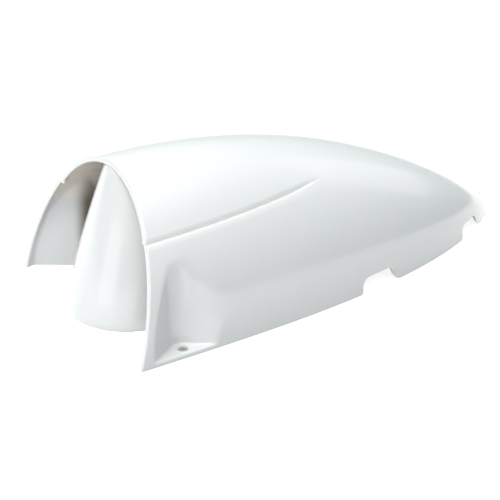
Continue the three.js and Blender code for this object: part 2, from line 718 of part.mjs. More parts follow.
/** Holes for the ring screws, from just under bottom to just over top. */
function ringScrewHoles(bottom, top) {
    return ringScrewPlaces().map(({ x, y }) => (
        cylinder(RING_SCREW.shank + SEAT_GAP, bottom - 1, top + 1, x, y, SMALL_ROUND)
    ));
}

/** An arc-shaped opening between two radii and two angles in degrees, as a cutting solid. */
function arcCut(inner, outer, from, to, bottom, top) {
    const start = THREE.MathUtils.degToRad(from);
    const end = THREE.MathUtils.degToRad(to);
    const shape = new THREE.Shape();
    shape.absarc(DUCT_X, 0, outer, start, end, false);
    shape.absarc(DUCT_X, 0, inner, end, start, true);
    return raised(shape, bottom, top, 5);
}

function slotCuts(bottom, top) {
    const quarter = SLOT_PITCH / 4;
    const cuts = [];
    for (let k = 0; k < SLOT_COUNT; k += 1) {
        const middle = k * SLOT_PITCH;
        cuts.push(arcCut(SLOT_INNER, SLOT_OUTER, middle - quarter, middle + quarter, bottom, top));
    }
    return cuts;
}

function shutterGrille() {
    const plate = cylinder(DUCT_RIM_RADIUS, GRILLE_BOTTOM, GRILLE_TOP, DUCT_X, 0);
    const lug = arcCut(
        STOP_RADIUS - 1.5,
        STOP_RADIUS + 1.5,
        STOP_ANGLE - STOP_HALF_ANGLE,
        STOP_ANGLE + STOP_HALF_ANGLE,
        DISC_BOTTOM + DISC_GAP,
        GRILLE_BOTTOM + 1,
    );
    const headSeat = GRILLE_TOP - PIN_HEAD_HEIGHT - 2 * SEAT_GAP;
    const cuts = [
        ...slotCuts(GRILLE_BOTTOM - 1, GRILLE_TOP + 1),
        cylinder(PIN_RADIUS + SEAT_GAP, GRILLE_BOTTOM - 1, GRILLE_TOP + 1, DUCT_X, 0, PIVOT_ROUND),
        cylinder(PIN_HEAD_RADIUS + SEAT_GAP, headSeat, GRILLE_TOP + 1, DUCT_X, 0, PIVOT_ROUND),
        ...ringScrewHoles(GRILLE_BOTTOM, GRILLE_TOP),
    ];
    return plate.add(lug).subtract(joined(cuts));
}

function knobScrewPlaces() {
    const radius = (CUP_INNER + CUP_OUTER) / 2;
    return KNOB_SCREW_ANGLES.map((degrees, row) => (
        { name: `knob_screw_${row + 1}`, ...aboutDuct(radius, degrees) }
    ));
}

function shutterDisc() {
    const plate = cylinder(DUCT_BORE - DISC_GAP, DISC_BOTTOM, DISC_TOP, DUCT_X, 0);
    const hub = cylinder(DISC_HUB_RADIUS, HUB_BOTTOM, DISC_TOP, DUCT_X, 0, ROUND);
    const play = 0.4;
    const cuts = [
        ...slotCuts(DISC_BOTTOM - 1, DISC_TOP + 1),
        cylinder(PIN_RADIUS + RUNNING_GAP, HUB_BOTTOM - 1, DISC_TOP + 1, DUCT_X, 0, PIVOT_ROUND),
        arcCut(
            STOP_RADIUS - 2.2,
            DUCT_BORE + 4,
            STOP_ANGLE - STOP_HALF_ANGLE - play - SHUTTER_TRAVEL,
            STOP_ANGLE + STOP_HALF_ANGLE + play,
            DISC_BOTTOM - 1,
            DISC_TOP + 1,
        ),
        ...knobScrewPlaces().map(({ x, y }) => countersunkHole(KNOB_SCREW, x, y, DISC_TOP, DISC_BOTTOM - 1)),
    ];
    return plate.add(hub).subtract(joined(cuts));
}

function shutterKnob() {
    const rim = DISC_BOTTOM - SEAT_GAP;
    const floor = rim - CUP_DEPTH;
    const cup = turned([
        [0, floor],
        [CUP_OUTER - 1.5, floor],
        [CUP_OUTER, floor + 1.5],
        [CUP_OUTER, rim],
        [CUP_INNER, rim],
        [CUP_INNER, floor + CUP_FLOOR],
        [0, floor + CUP_FLOOR],
    ], DUCT_X, 0, ROUND);
    const outline = new THREE.Shape();
    const halfLength = GRIP_LENGTH / 2 - GRIP_WIDTH / 2;
    outline.absarc(DUCT_X + halfLength, 0, GRIP_WIDTH / 2, -Math.PI / 2, Math.PI / 2, false);
    outline.absarc(DUCT_X - halfLength, 0, GRIP_WIDTH / 2, Math.PI / 2, (3 * Math.PI) / 2, false);
    const grip = raised(outline, floor - GRIP_DEPTH, floor + 1);
    const bores = knobScrewPlaces().map(({ x, y }) => (
        cylinder(KNOB_SCREW.shank + SEAT_GAP, DISC_TOP - KNOB_SCREW.length - 1, rim + 1, x, y, SMALL_ROUND)
    ));
    return cup.add(grip).subtract(joined(bores));
}

function pivotPin() {
    const headTop = GRILLE_TOP - SEAT_GAP;
    const headBottom = headTop - PIN_HEAD_HEIGHT;
    return turned([
        [0, PIN_BOTTOM],
        [PIN_RADIUS - 0.4, PIN_BOTTOM],
        [PIN_RADIUS, PIN_BOTTOM + 0.4],
        [PIN_RADIUS, headBottom],
        [PIN_HEAD_RADIUS, headBottom],
        [PIN_HEAD_RADIUS, headTop],
        [0, headTop],
    ], DUCT_X, 0, PIVOT_ROUND);
}

function waveWasher() {
    const bottom = WASHER_TOP - WASHER_THICKNESS;
    return tube(PIN_RADIUS + SEAT_GAP, WASHER_RADIUS, bottom, WASHER_TOP, DUCT_X, 0, PIVOT_ROUND);
}

function pivotClip() {
    const bottom = CLIP_TOP - CLIP_THICKNESS;
    return tube(PIN_RADIUS + SEAT_GAP, CLIP_RADIUS, bottom, CLIP_TOP, DUCT_X, 0, PIVOT_ROUND);
}

// ---------------------------------------------------------------- screen

function insectScreen() {
    const top = SCREEN_BOTTOM + SCREEN_THICKNESS;
    const sheet = cylinder(DUCT_RIM_RADIUS - 0.5, SCREEN_BOTTOM, top, DUCT_X, 0);
    return sheet.subtract(joined(ringScrewHoles(SCREEN_BOTTOM, top)));
}

function screenRing() {
    const ring = tube(RING_INNER, DUCT_RIM_RADIUS, RING_BOTTOM, RING_TOP, DUCT_X, 0);
    return ring.subtract(joined(ringScrewHoles(RING_BOTTOM, RING_TOP)));
}

// ---------------------------------------------------------------- assembly

// The origin is on the deck, at the middle of the ventilator's length and width.
const FRONT_END = CONE_BASE_X - CONE_BASE_RADIUS;
const REAR_END = HOOD_LENGTH - TAIL_FLAT;
const ventilator = new THREE.Group();
ventilator.position.x = -(FRONT_END + REAR_END) / 2;

function place(name, solid, finish) {
    const mesh = new THREE.Mesh(geometryOf(solid), new THREE.MeshStandardMaterial(FINISHES[finish]));
    mesh.name = name;
    ventilator.add(mesh);
}

/** A countersunk screw just under flush with the face at top, ending at bottom. */
function placeScrew(name, screw, x, y, top, bottom) {
    place(name, countersunkScrew(screw, x, y, top - SEAT_GAP / 2, bottom), 'stainless');
}

place('hood_shell', hoodShell(), 'gelcoat');
place('deflector_cone', deflectorCone(), 'gelcoat');
place('crown_screw_front', crownScrew(BOSS_X[0]), 'stainless');
place('crown_screw_rear', crownScrew(BOSS_X[1]), 'stainless');
for (const { name, sign } of SIDES) {
    placeScrew(`foot_screw_${name}`, DECK_SCREW, FOOT_SCREW_X, sign * FOOT_SCREW_Y, PAD_THICKNESS, SEAT_GAP);
}

place('deck_gasket', deckGasket(), 'rubber');
place('duct_base', ductBase(), 'moulding');
for (const { name, x, y } of baseScrews()) {
    placeScrew(name, DECK_SCREW, x, y, PLATE_TOP, SEAT_GAP);
}
place('tail_clip', tailClip(), 'greyPlastic');
for (const { name, x, y } of hookScrewPlaces()) {
    const top = PLATE_TOP + SEAT_GAP + CLIP_BASE_THICKNESS;
    placeScrew(name, HOOK_SCREW, x, y, top, top - HOOK_SCREW.length);
}

place('shutter_grille', shutterGrille(), 'moulding');
place('insect_screen', insectScreen(), 'stainless');
place('screen_ring', screenRing(), 'moulding');
for (const { name, x, y } of ringScrewPlaces()) {
    place(name, panScrew(RING_SCREW, x, y, RING_TOP + SEAT_GAP), 'stainless');
}
place('pivot_pin', pivotPin(), 'stainless');
place('wave_washer', waveWasher(), 'stainless');
place('pivot_clip', pivotClip(), 'stainless');

place('shutter_disc', shutterDisc(), 'greyPlastic');
place('shutter_knob', shutterKnob(), 'greyPlastic');
for (const { name, x, y } of knobScrewPlaces()) {
    placeScrew(name, KNOB_SCREW, x, y, DISC_TOP, DISC_TOP - KNOB_SCREW.length);
}

export default ventilator;
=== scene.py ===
"""Shapes and finishes of a low-profile deck ventilator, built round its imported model.

Metres, +Z up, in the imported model's own frame: the open mouth faces -X, the deck is Z = 0.
"""

import json
import logging
import math
from dataclasses import dataclass
from enum import Enum
from typing import Any, Callable, Sequence

import bpy
import numpy as np
from mathutils import Matrix, Vector


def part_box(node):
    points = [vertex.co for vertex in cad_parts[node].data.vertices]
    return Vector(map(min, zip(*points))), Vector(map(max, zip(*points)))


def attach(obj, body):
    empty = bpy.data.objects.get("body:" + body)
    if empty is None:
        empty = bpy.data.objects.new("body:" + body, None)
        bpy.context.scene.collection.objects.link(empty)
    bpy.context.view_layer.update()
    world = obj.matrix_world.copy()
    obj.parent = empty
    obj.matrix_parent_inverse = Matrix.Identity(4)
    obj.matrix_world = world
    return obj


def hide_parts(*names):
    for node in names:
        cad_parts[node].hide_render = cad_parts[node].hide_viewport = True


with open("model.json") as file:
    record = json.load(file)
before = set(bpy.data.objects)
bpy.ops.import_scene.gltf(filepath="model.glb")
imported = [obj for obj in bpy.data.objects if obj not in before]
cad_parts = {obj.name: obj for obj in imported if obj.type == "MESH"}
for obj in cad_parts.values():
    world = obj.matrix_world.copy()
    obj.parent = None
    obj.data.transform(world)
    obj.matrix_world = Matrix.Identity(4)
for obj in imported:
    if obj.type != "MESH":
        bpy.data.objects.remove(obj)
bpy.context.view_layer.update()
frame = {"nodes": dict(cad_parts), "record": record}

LOG = logging.getLogger("ventilator")
MM = 0.001
SIDES = {"left": 1.0, "right": -1.0}
# The play round a seated part, the heights below and above which no cut has to reach, how far a
# cut goes past a face, and the angles that a rounded edge is drawn at.
SEAT_GAP = 0.3 * MM
CUT_FROM = -5 * MM
CUT_TO = 60 * MM
CLEAR = 1 * MM
ROUNDING = [math.radians(degrees) for degrees in (0, 22.5, 45, 67.5, 90)]

Piece = bpy.types.Object
Array = np.ndarray
Pair = tuple[float, float]
Profile = Sequence[Sequence[float]]
Level = Callable[[Array], Array]


# ---------------- shader trees


class Value:
    """A node's output, whose arithmetic adds Math nodes to its tree."""

    def __init__(self, tree: "Tree", socket: bpy.types.NodeSocket) -> None:
        """Wraps an output socket of a tree."""
        self.tree = tree
        self.socket = socket

    def _math(self, operation: str, *terms: Any) -> "Value":
        """One Math node over the terms, which are numbers or Values."""
        return self.tree.node("ShaderNodeMath", {"operation": operation}, dict(enumerate(terms)))

    def __add__(self, other: Any) -> "Value":
        """self + other."""
        return self._math("ADD", self, other)

    def __sub__(self, other: Any) -> "Value":
        """self - other."""
        return self._math("SUBTRACT", self, other)

    def __rsub__(self, other: Any) -> "Value":
        """other - self."""
        return self._math("SUBTRACT", other, self)

    def __mul__(self, other: Any) -> "Value":
        """self * other."""
        return self._math("MULTIPLY", self, other)

    def __truediv__(self, other: Any) -> "Value":
        """self / other."""
        return self._math("DIVIDE", self, other)

    def __rtruediv__(self, other: Any) -> "Value":
        """other / self."""
        return self._math("DIVIDE", other, self)

    def __neg__(self) -> "Value":
        """-self."""
        return self * -1.0

    def cosine(self) -> "Value":
        """The cosine of an angle in radians."""
        return self._math("COSINE", self)

    def over(self, limit: Any) -> "Value":
        """1 where the number is above the limit, else 0."""
        return self._math("GREATER_THAN", self, limit)

    __radd__ = __add__
    __rmul__ = __mul__


class Tree:
    """A node tree that is built in order."""

    def __init__(self, tree: bpy.types.NodeTree) -> None:
        """Takes the tree to build in."""
        self.tree = tree

    def node(
        self,
        kind: str,
        settings: dict[str, Any] | None = None,
        sockets: dict[Any, Any] | None = None,
        output: int | str = 0,
    ) -> Value:
        """Adds a node.

        Args:
            kind: the node's type.
            settings: properties, which are set first.
            sockets: values, Values or lists of Values for its inputs, by name or number.
            output: which output to hand back.

        Returns:
            The chosen output.
        """
        made = self.tree.nodes.new(kind)
        for key, value in (settings or {}).items():
            setattr(made, key, value)
        for key, value in (sockets or {}).items():
            for item in value if isinstance(value, list) else [value]:
                if isinstance(item, Value):
                    self.tree.links.new(item.socket, made.inputs[key])
                else:
                    made.inputs[key].default_value = item
        return Value(self, made.outputs[output])


class ShaderTree(Tree):
    """The node tree of a material or of the room, with the node that ends it."""

    def __init__(self, owner: bpy.types.Material | bpy.types.World, end: str) -> None:
        """Takes the owner's tree and the name of its end node.

        Args:
            owner: the material or the world.
            end: the name of its end node.
        """
        owner.use_nodes = True
        super().__init__(owner.node_tree)
        self.surface = self.tree.nodes[end]

    def blend(self, share: Value, first: Any, second: Any) -> Value:
        """A colour from first to second by share."""
        sockets = {0: share, 6: first, 7: second}
        return self.node("ShaderNodeMix", {"data_type": "RGBA"}, sockets, 2)

    def feed(self, socket: str, value: Value) -> None:
        """Links a varying value to the end node."""
        self.tree.links.new(value.socket, self.surface.inputs[socket])


class Shader(ShaderTree):
    """A material's node tree with one principled surface."""

    def __init__(self, name: str, constants: dict[str, Any]) -> None:
        """Makes the material.

        Args:
            name: the material's name.
            constants: values set on the surface's own sockets.
        """
        self.material = bpy.data.materials.new(name)
        super().__init__(self.material, "Principled BSDF")
        for socket, value in constants.items():
            self.surface.inputs[socket].default_value = value

    def place(self) -> Value:
        """The object's own coordinates, in metres."""
        return self.node("ShaderNodeTexCoord", output="Object")

    def along(self, axis: int) -> Value:
        """One of the object's own coordinates: 0 for X, 1 for Y, 2 for Z."""
        return self.node("ShaderNodeSeparateXYZ", {}, {0: self.place()}, axis)

    def noise(
        self, scale: float, detail: float, stretch: Sequence[float] = (1, 1, 1)
    ) -> Value:
        """Smooth noise over the object, from 0 to 1.

        Args:
            scale: waves for each metre.
            detail: octaves.
            stretch: how much finer the noise is along X, Y and Z.

        Returns:
            The noise.
        """
        sockets = {"Vector": self.place(), "Scale": tuple(stretch)}
        where = self.node("ShaderNodeMapping", {}, sockets)
        sockets = {"Vector": where, "Scale": scale, "Detail": detail}
        return self.node("ShaderNodeTexNoise", {}, sockets, "Fac")

    def ramp(self, value: Value, low: float, high: float) -> Value:
        """value taken from low..high to 0..1, with a smooth ease.

        Args:
            value: the number.
            low: where it gives 0.
            high: where it gives 1.

        Returns:
            The eased number.
        """
        settings = {"interpolation_type": "SMOOTHSTEP"}
        sockets = {"Value": value, "From Min": low, "From Max": high}
        return self.node("ShaderNodeMapRange", settings, sockets)

    def bump(self, height: Value, distance: float, strength: float) -> None:
        """Raises the surface by a height of 0 to 1 times a distance in metres."""
        sockets = {"Height": height, "Distance": distance, "Strength": strength}
        self.feed("Normal", self.node("ShaderNodeBump", {}, sockets))


def grey(level: float, warmth: float = 0.0) -> tuple[float, float, float, float]:
    """A neutral colour, a little warmer where warmth is above 0."""
    return (level * (1 + warmth), level, level * (1 - warmth), 1.0)


@dataclass(frozen=True)
class Finish:
    """What every finish says: its slot in the record, its colour, and how it's made.

    Each tone is a change of level and a warmth.
    """

    slot: str
    colour: float
    tones: Profile

    CONSTANTS = {"Specular IOR Level": 0.45}

    def material(self) -> bpy.types.Material:
        """The finish as a material, made once.

        Returns:
            The material.
        """
        name = type(self).__name__
        if name not in bpy.data.materials:
            self.dress(Shader(name, self.CONSTANTS))
        return bpy.data.materials[name]

    def dress(self, shader: Shader) -> None:
        """Adds the finish's nodes."""
        raise NotImplementedError

    def toned(self, shader: Shader, share: Value) -> Value:
        """The colour, which changes from its first tone to its second by share."""
        first, second = (grey(self.colour + change, warmth) for change, warmth in self.tones)
        return shader.blend(share, first, second)


@dataclass(frozen=True)
class Gelcoat(Finish):
    """Glossy white moulding with a faint ripple and a trace of salt haze.

    The inner face is matt; painted shade makes it warm and dim deep under the hood, painted light
    pale under the crown.
    """

    slot: str = "gelcoat"
    colour: float = 0.82
    tones: Profile = ((-0.012, -0.006), (0.008, -0.002))
    cloud_scale: float = 9
    haze_scale: float = 46
    haze_stretch: tuple[float, ...] = (1, 1, 0.4)
    haze_tone: Pair = (-0.03, 0.004)
    haze_reach: Pair = (0.5, 0.82)
    haze_share: float = 0.3
    gloss: float = 0.2
    coat: float = 0.55
    # Painted shade on the inner face deep under the hood: its level, its warmth and the X range
    # where it comes in. back_gloss is the inner face's own matt dullness.
    back: float = 0.4
    painted_shade_warmth: float = 0.13
    back_gloss: float = 0.2
    painted_shade: Pair = (-0.182, -0.168)
    # Painted light on the inner face under the crown: its level, its warmth and the heights where
    # it comes in.
    painted_light: float = 0.92
    painted_light_warmth: float = 0.1
    painted_light_reach: Pair = (0.06, 0.084)
    ripple_scales: Pair = (70, 900)
    ripple_height: float = 0.06 * MM

    CONSTANTS = {"Coat Roughness": 0.07, "Coat IOR": 1.5, "Specular IOR Level": 0.5}

    def dress(self, shader: Shader) -> None:
        """Adds the finish's nodes.

        Args:
            shader: the material's tree.
        """
        clouds = shader.noise(self.cloud_scale, 3)
        haze = shader.noise(self.haze_scale, 4, self.haze_stretch)
        tone = self.toned(shader, clouds)
        hazed = shader.ramp(haze, *self.haze_reach) * self.haze_share
        change, warmth = self.haze_tone
        tone = shader.blend(hazed, tone, grey(self.colour + change, warmth))
        inside = shader.node("ShaderNodeAttribute", {"attribute_name": "inside"}, {}, "Fac")
        # Painted light: the inner face is made paler and warmer under the crown.
        painted_light = inside * shader.ramp(shader.along(2), *self.painted_light_reach)
        # Painted shade: the inner face is made darker and warmer deep under the hood, except where
        # the painted light is.
        painted_shade = inside * shader.ramp(shader.along(0), *self.painted_shade) * (1 - painted_light)
        tone = shader.blend(painted_shade, tone, grey(self.back, self.painted_shade_warmth))
        shader.feed("Base Color", shader.blend(painted_light, tone, grey(self.painted_light, self.painted_light_warmth)))
        dullness = self.gloss + clouds * 0.05 + hazed * 0.12 + inside * self.back_gloss
        shader.feed("Roughness", dullness)
        shader.feed("Coat Weight", (self.coat - hazed * 0.5) * (1 - inside))
        broad, fine = self.ripple_scales
        ripple = shader.noise(broad, 1) * 0.8 + shader.noise(fine, 2) * 0.2
        shader.bump(ripple, self.ripple_height, 0.35)


@dataclass(frozen=True)
class Moulding(Finish):
    """Satin white moulding of the duct, with a fine spark-eroded grain."""

    slot: str = "moulding"
    colour: float = 0.8
    tones: Profile = ((-0.02, 0.004), (0.01, 0.0))
    cloud_scale: float = 14
    grain_scale: float = 2600
    grain_height: float = 0.04 * MM
    dullness: Pair = (0.4, 0.14)

    def dress(self, shader: Shader) -> None:
        """Adds the finish's nodes.

        Args:
            shader: the material's tree.
        """
        clouds = shader.noise(self.cloud_scale, 3)
        grain = shader.noise(self.grain_scale, 2)
        shader.feed("Base Color", self.toned(shader, clouds))
        dull, duller = self.dullness
        shader.feed("Roughness", dull + grain * duller)
        shader.bump(grain, self.grain_height, 0.5)


@dataclass(frozen=True)
class GreyPlastic(Moulding):
    """Satin grey moulding of the shutter and the clip."""

    slot: str = "grey_plastic"
    colour: float = 0.23
    tones: Profile = ((-0.015, -0.02), (0.015, -0.01))
    cloud_scale: float = 30
    grain_scale: float = 2200
    grain_height: float = 0.05 * MM
    dullness: Pair = (0.42, 0.16)


@dataclass(frozen=True)
class Stainless(Finish):
    """Stainless steel with fine turning marks and a slight dulling."""

    slot: str = "stainless"
    colour: float = 0.62
    tones: Profile = ((-0.06, 0.03), (0.05, 0.02))
    cloud_scale: float = 420
    brush_scale: float = 1800
    brush_stretch: tuple[float, ...] = (1, 0.12, 1)
    brush_depth: float = 0.02 * MM

    CONSTANTS = {"Metallic": 1.0}

    def dress(self, shader: Shader) -> None:
        """Adds the finish's nodes.

        Args:
            shader: the material's tree.
        """
        clouds = shader.noise(self.cloud_scale, 3)
        brush = shader.noise(self.brush_scale, 3, self.brush_stretch)
        shader.feed("Base Color", self.toned(shader, clouds))
        shader.feed("Roughness", 0.24 + brush * 0.16 + clouds * 0.06)
        shader.bump(brush, self.brush_depth, 0.5)


@dataclass(frozen=True)
class ScreenWire(Finish):
    """Drawn wire, dulled in patches by salt."""

    slot: str = "screen_wire"
    colour: float = 0.5
    tones: Profile = ((-0.1, 0.01), (0.06, 0.0))

    CONSTANTS = {"Metallic": 1.0}

    def dress(self, shader: Shader) -> None:
        """Adds the finish's nodes.

        Args:
            shader: the material's tree.
        """
        dull = shader.noise(700, 3)
        shader.feed("Base Color", self.toned(shader, dull))
        shader.feed("Roughness", 0.3 + dull * 0.25)


@dataclass(frozen=True)
class Rubber(Finish):
    """Matt black rubber with bloom."""

    slot: str = "gasket_rubber"
    colour: float = 0.022
    tones: Profile = ((0.0, 0.0), (0.0264, 0.02))
    bloom_scale: float = 60
    bloom_reach: Pair = (0.45, 0.8)
    grain_scale: float = 1500
    grain_height: float = 0.08 * MM

    CONSTANTS = {"Specular IOR Level": 0.3}

    def dress(self, shader: Shader) -> None:
        """Adds the finish's nodes.

        Args:
            shader: the material's tree.
        """
        bloom = shader.ramp(shader.noise(self.bloom_scale, 4), *self.bloom_reach)
        grain = shader.noise(self.grain_scale, 2)
        shader.feed("Base Color", self.toned(shader, bloom))
        shader.feed("Roughness", 0.7 + grain * 0.2)
        shader.bump(grain, self.grain_height, 0.6)


class Finishes(Enum):
    """The finishes that the ventilator's pieces have."""

    GELCOAT = Gelcoat()
    MOULDING = Moulding()
    STAINLESS = Stainless()
    SCREEN_WIRE = ScreenWire()
    RUBBER = Rubber()
    GREY_PLASTIC = GreyPlastic()


# ---------------- meshes


def edge_lines(outer: Array, inner: Array, edge: int) -> list[Array]:
    """The lines that a rounded edge runs between: near it and on it, outside and then inside."""
    near = 1 if edge == 0 else -2
    return [outer[near], outer[edge], inner[edge], inner[near]]


class Skin:
    """Collects points and faces of one closed surface."""

    def __init__(self) -> None:
        """Starts with nothing."""
        self.points: list[Array] = []
        self.faces: list[list[int]] = []
        self.count = 0
        self.inner = range(0)

    def add(self, points: Array) -> Array:
        """Adds points.

        Args:
            points: an array whose last axis is X, Y, Z.

        Returns:
            Their numbers, in the same layout.
        """
        flat = points.reshape(-1, 3)
        numbers = np.arange(self.count, self.count + len(flat)).reshape(points.shape[:-1])
        self.points.append(flat)
        self.count += len(flat)
        return numbers

    def face(self, numbers: Sequence[int]) -> None:
        """Adds a face, leaving out a corner that follows itself.

        Args:
            numbers: its corners' point numbers.
        """
        kept = [int(n) for k, n in enumerate(numbers) if n != numbers[k - 1]]
        if len(kept) > 2:
            self.faces.append(kept)

    def cover(self, grid: Array, turned: bool = False) -> None:
        """Covers a grid of point numbers with quads.

        Args:
            grid: point numbers in rows and columns.
            turned: True to make them face the other way.
        """
        for first, second in zip(grid[:-1], grid[1:]):
            for k in range(len(first) - 1):
                quad = [first[k], first[k + 1], second[k + 1], second[k]]
                self.face(quad[::-1] if turned else quad)

    def strip(self, rows: Sequence[Array], ends: Sequence[Array]) -> Array:
        """The rounded edge that joins a wall's outside to its inside.

        Args:
            rows: points of the outside near the edge, of its sharp line, of the inside's sharp
                line and of the inside near the edge.
            ends: point numbers of the first and the last of those rows.

        Returns:
            Point numbers from the outside to the inside.
        """
        outer, outer_edge, inner_edge, inner = rows
        across = inner_edge - outer_edge
        width = np.linalg.norm(across, axis=-1, keepdims=True)
        reach = np.linalg.norm(outer - outer_edge, axis=-1, keepdims=True)
        into = across / width * np.minimum(reach, width * 0.48)
        made = []
        for angle in ROUNDING[1:]:
            back = (outer - outer_edge) * (1 - math.sin(angle))
            made.append(outer_edge + back + into * (1 - math.cos(angle)))
        for angle in ROUNDING[:0:-1]:
            back = (inner - inner_edge) * (1 - math.sin(angle))
            made.append(inner_edge + back - into * (1 - math.cos(angle)))
        between = self.add(np.array(made))
        return np.vstack([ends[0][None], between, ends[1][None]])

    def wall(
        self, outer: Array, inner: Array, ends: Sequence[int]
    ) -> tuple[Array, Array, list[Array]]:
        """A wall between two grids of points whose first and last rows are its sharp edge lines.

        Args:
            outer: the outside, columns by rows by X, Y, Z.
            inner: the inside, in the same layout.
            ends: which end columns are rounded edges: (0, -1), or (0,) where the far end
                stays open.

        Returns:
            The point numbers of the far end's outside, its inside and its two rounded feet.
        """
        last = -1 if -1 in ends else None
        out = self.add(outer[1:last, 1:-1])
        into = self.add(inner[1:last, 1:-1])
        self.cover(out)
        start = len(self.faces)
        self.cover(into, True)
        self.inner = range(start, len(self.faces))
        feet = []
        rows = [grid[1:last].swapaxes(0, 1) for grid in (outer, inner)]
        for edge in (0, -1):
            foot = self.strip(edge_lines(*rows, edge), (out[:, edge], into[:, edge]))
            self.cover(foot, edge == -1)
            feet.append(foot)
        columns = [grid[:, 1:-1] for grid in (outer, inner)]
        for end in ends:
            rim = self.strip(edge_lines(*columns, end), (out[end], into[end]))
            self.cover(rim.T, end == -1)
            for edge, foot in zip((0, -1), feet):
                self.cover(np.stack([rim[:, edge], foot[:, end]]), edge == end)
        return out[-1], into[-1], [foot[:, -1] for foot in feet]

    def object(self, name: str) -> Piece:
        """The surface as a mesh object at the origin.

        Args:
            name: the object's name.

        Returns:
            The object.
        """
        mesh = bpy.data.meshes.new(name)
        mesh.from_pydata(np.concatenate(self.points).tolist(), [], self.faces)
        mesh.validate()
        for _ in range(2 if self.inner else 0):
            mesh.materials.append(None)
        for number in self.inner:
            mesh.polygons[number].material_index = 1
        made = bpy.data.objects.new(name, mesh)
        bpy.context.scene.collection.objects.link(made)
        return made


def turned_solid(name: str, profile: Profile, centre: Vector, sides: int = 96) -> Piece:
    """A profile turned about a vertical axis.

    Args:
        name: the object's name.
        profile: radius and height of each point, from the bottom up the outside; a closed
            ring's profile ends where it started, and another starts and ends on the axis.
        centre: where the axis stands.
        sides: steps round the axis.

    Returns:
        The closed solid.
    """
    ring = profile[0] == profile[-1] and profile[0][0] > 0
    points = profile[:-1] if ring else profile[1:-1]
    angles = np.linspace(0, 2 * math.pi, sides, endpoint=False)
    skin = Skin()
    rows = []
    for radius, height in points:
        x, y = centre.x + radius * np.cos(angles), centre.y + radius * np.sin(angles)
        rows.append(np.stack([x, y, np.full(sides, height)], -1))
    grid = skin.add(np.array(rows))
    grid = np.hstack([grid, grid[:, :1]])
    if ring:
        grid = np.vstack([grid, grid[:1]])
    skin.cover(grid)
    if not ring:
        skin.face(grid[0, :-1][::-1])
        skin.face(grid[-1, :-1])
    return skin.object(name)


def stacked(name: str, outline: Array, levels: Profile, lying: bool = False) -> Piece:
    """A solid of one outline, drawn in by a distance of its own at each level.

    Args:
        name: the object's name.
        outline: its corners, counterclockwise, an array of X, Y, or of X, Z where it's lying.
        levels: how far in the outline is and how far along, from the first face to the last.
        lying: True where the levels run from +Y to -Y, not upwards.

    Returns:
        The closed solid.
    """
    ahead = np.roll(outline, -1, 0) - np.roll(outline, 1, 0)
    outward = np.stack([ahead[:, 1], -ahead[:, 0]], -1)
    outward /= np.linalg.norm(outward, axis=1, keepdims=True)
    rows = []
    for inset, along in levels:
        flat = outline - outward * inset
        third = np.full(len(flat), along)
        columns = (flat[:, 0], -third, flat[:, 1]) if lying else (flat[:, 0], flat[:, 1], third)
        rows.append(np.stack(columns, -1))
    skin = Skin()
    grid = skin.add(np.array(rows))
    skin.cover(np.hstack([grid, grid[:, :1]]))
    skin.face(grid[0][::-1])
    skin.face(grid[-1])
    return skin.object(name)


def rounding_levels(bottom: float, top: float, edge: float, sign: float) -> Profile:
    """How far in, times a sign, and how far along two edges of a radius are at each step."""
    steps = [(sign * edge * (1 - math.sin(a)), edge * (1 - math.cos(a))) for a in ROUNDING]
    return [(i, bottom + up) for i, up in steps] + [(i, top - up) for i, up in steps[::-1]]


def slab(
    name: str, outline: Array, bottom: float, top: float, edge: float, lying: bool = False
) -> Piece:
    """A flat plate from bottom to top with edges rounded to a radius."""
    return stacked(name, outline, rounding_levels(bottom, top, edge, 1), lying)


def opening(name: str, outline: Array, bottom: float, top: float, edge: float) -> Piece:
    """A solid to cut an opening with, which leaves its rims rounded to a radius."""
    levels = rounding_levels(bottom, top, edge, -1)
    return stacked(name, outline, [(-edge, bottom - CLEAR), *levels, (-edge, top + CLEAR)])


def rounded(
    corners: Profile, radius: float, closed: bool = True
) -> list[Pair]:
    """A profile with its corners rounded.

    Args:
        corners: each corner's two coordinates, and its own radius where it has one.
        radius: the rounding of the others.
        closed: True for a loop, which is then given with its first point again at the end.

    Returns:
        The points of the rounded profile.
    """
    steps = 5
    points: list[Pair] = []
    for k, corner in enumerate(corners):
        if not closed and k in (0, len(corners) - 1):
            points.append(tuple(corner[:2]))
            continue
        here = Vector(corner[:2])
        ends = []
        for other in (corners[k - 1], corners[(k + 1) % len(corners)]):
            away = Vector(other[:2]) - here
            reach = min(corner[2] if len(corner) > 2 else radius, 0.49 * away.length)
            ends.append(here + away.normalized() * reach)
        start, end = ends
        for t in np.linspace(0, 1, steps):
            points.append(tuple(start * (1 - t) ** 2 + here * 2 * t * (1 - t) + end * t * t))
    return points + points[:1] if closed else points


def polar(radius: float, degrees: float) -> Pair:
    """A point at a radius and an angle."""
    return radius * math.cos(math.radians(degrees)), radius * math.sin(math.radians(degrees))


def arc(
    radius: float, start: float, end: float, count: int, about: Sequence[float] = (0, 0)
) -> list[Pair]:
    """Points on an arc between two angles in degrees."""
    angles = np.radians(np.linspace(start, end, count))
    return [(about[0] + radius * math.cos(a), about[1] + radius * math.sin(a)) for a in angles]


def hole(radius: float, place: Vector, bottom: float, top: float) -> Piece:
    """A round solid to cut a plain hole with."""
    return turned_solid("hole", [(0, 0), (radius, bottom), (radius, top), (0, 0)], place, 48)


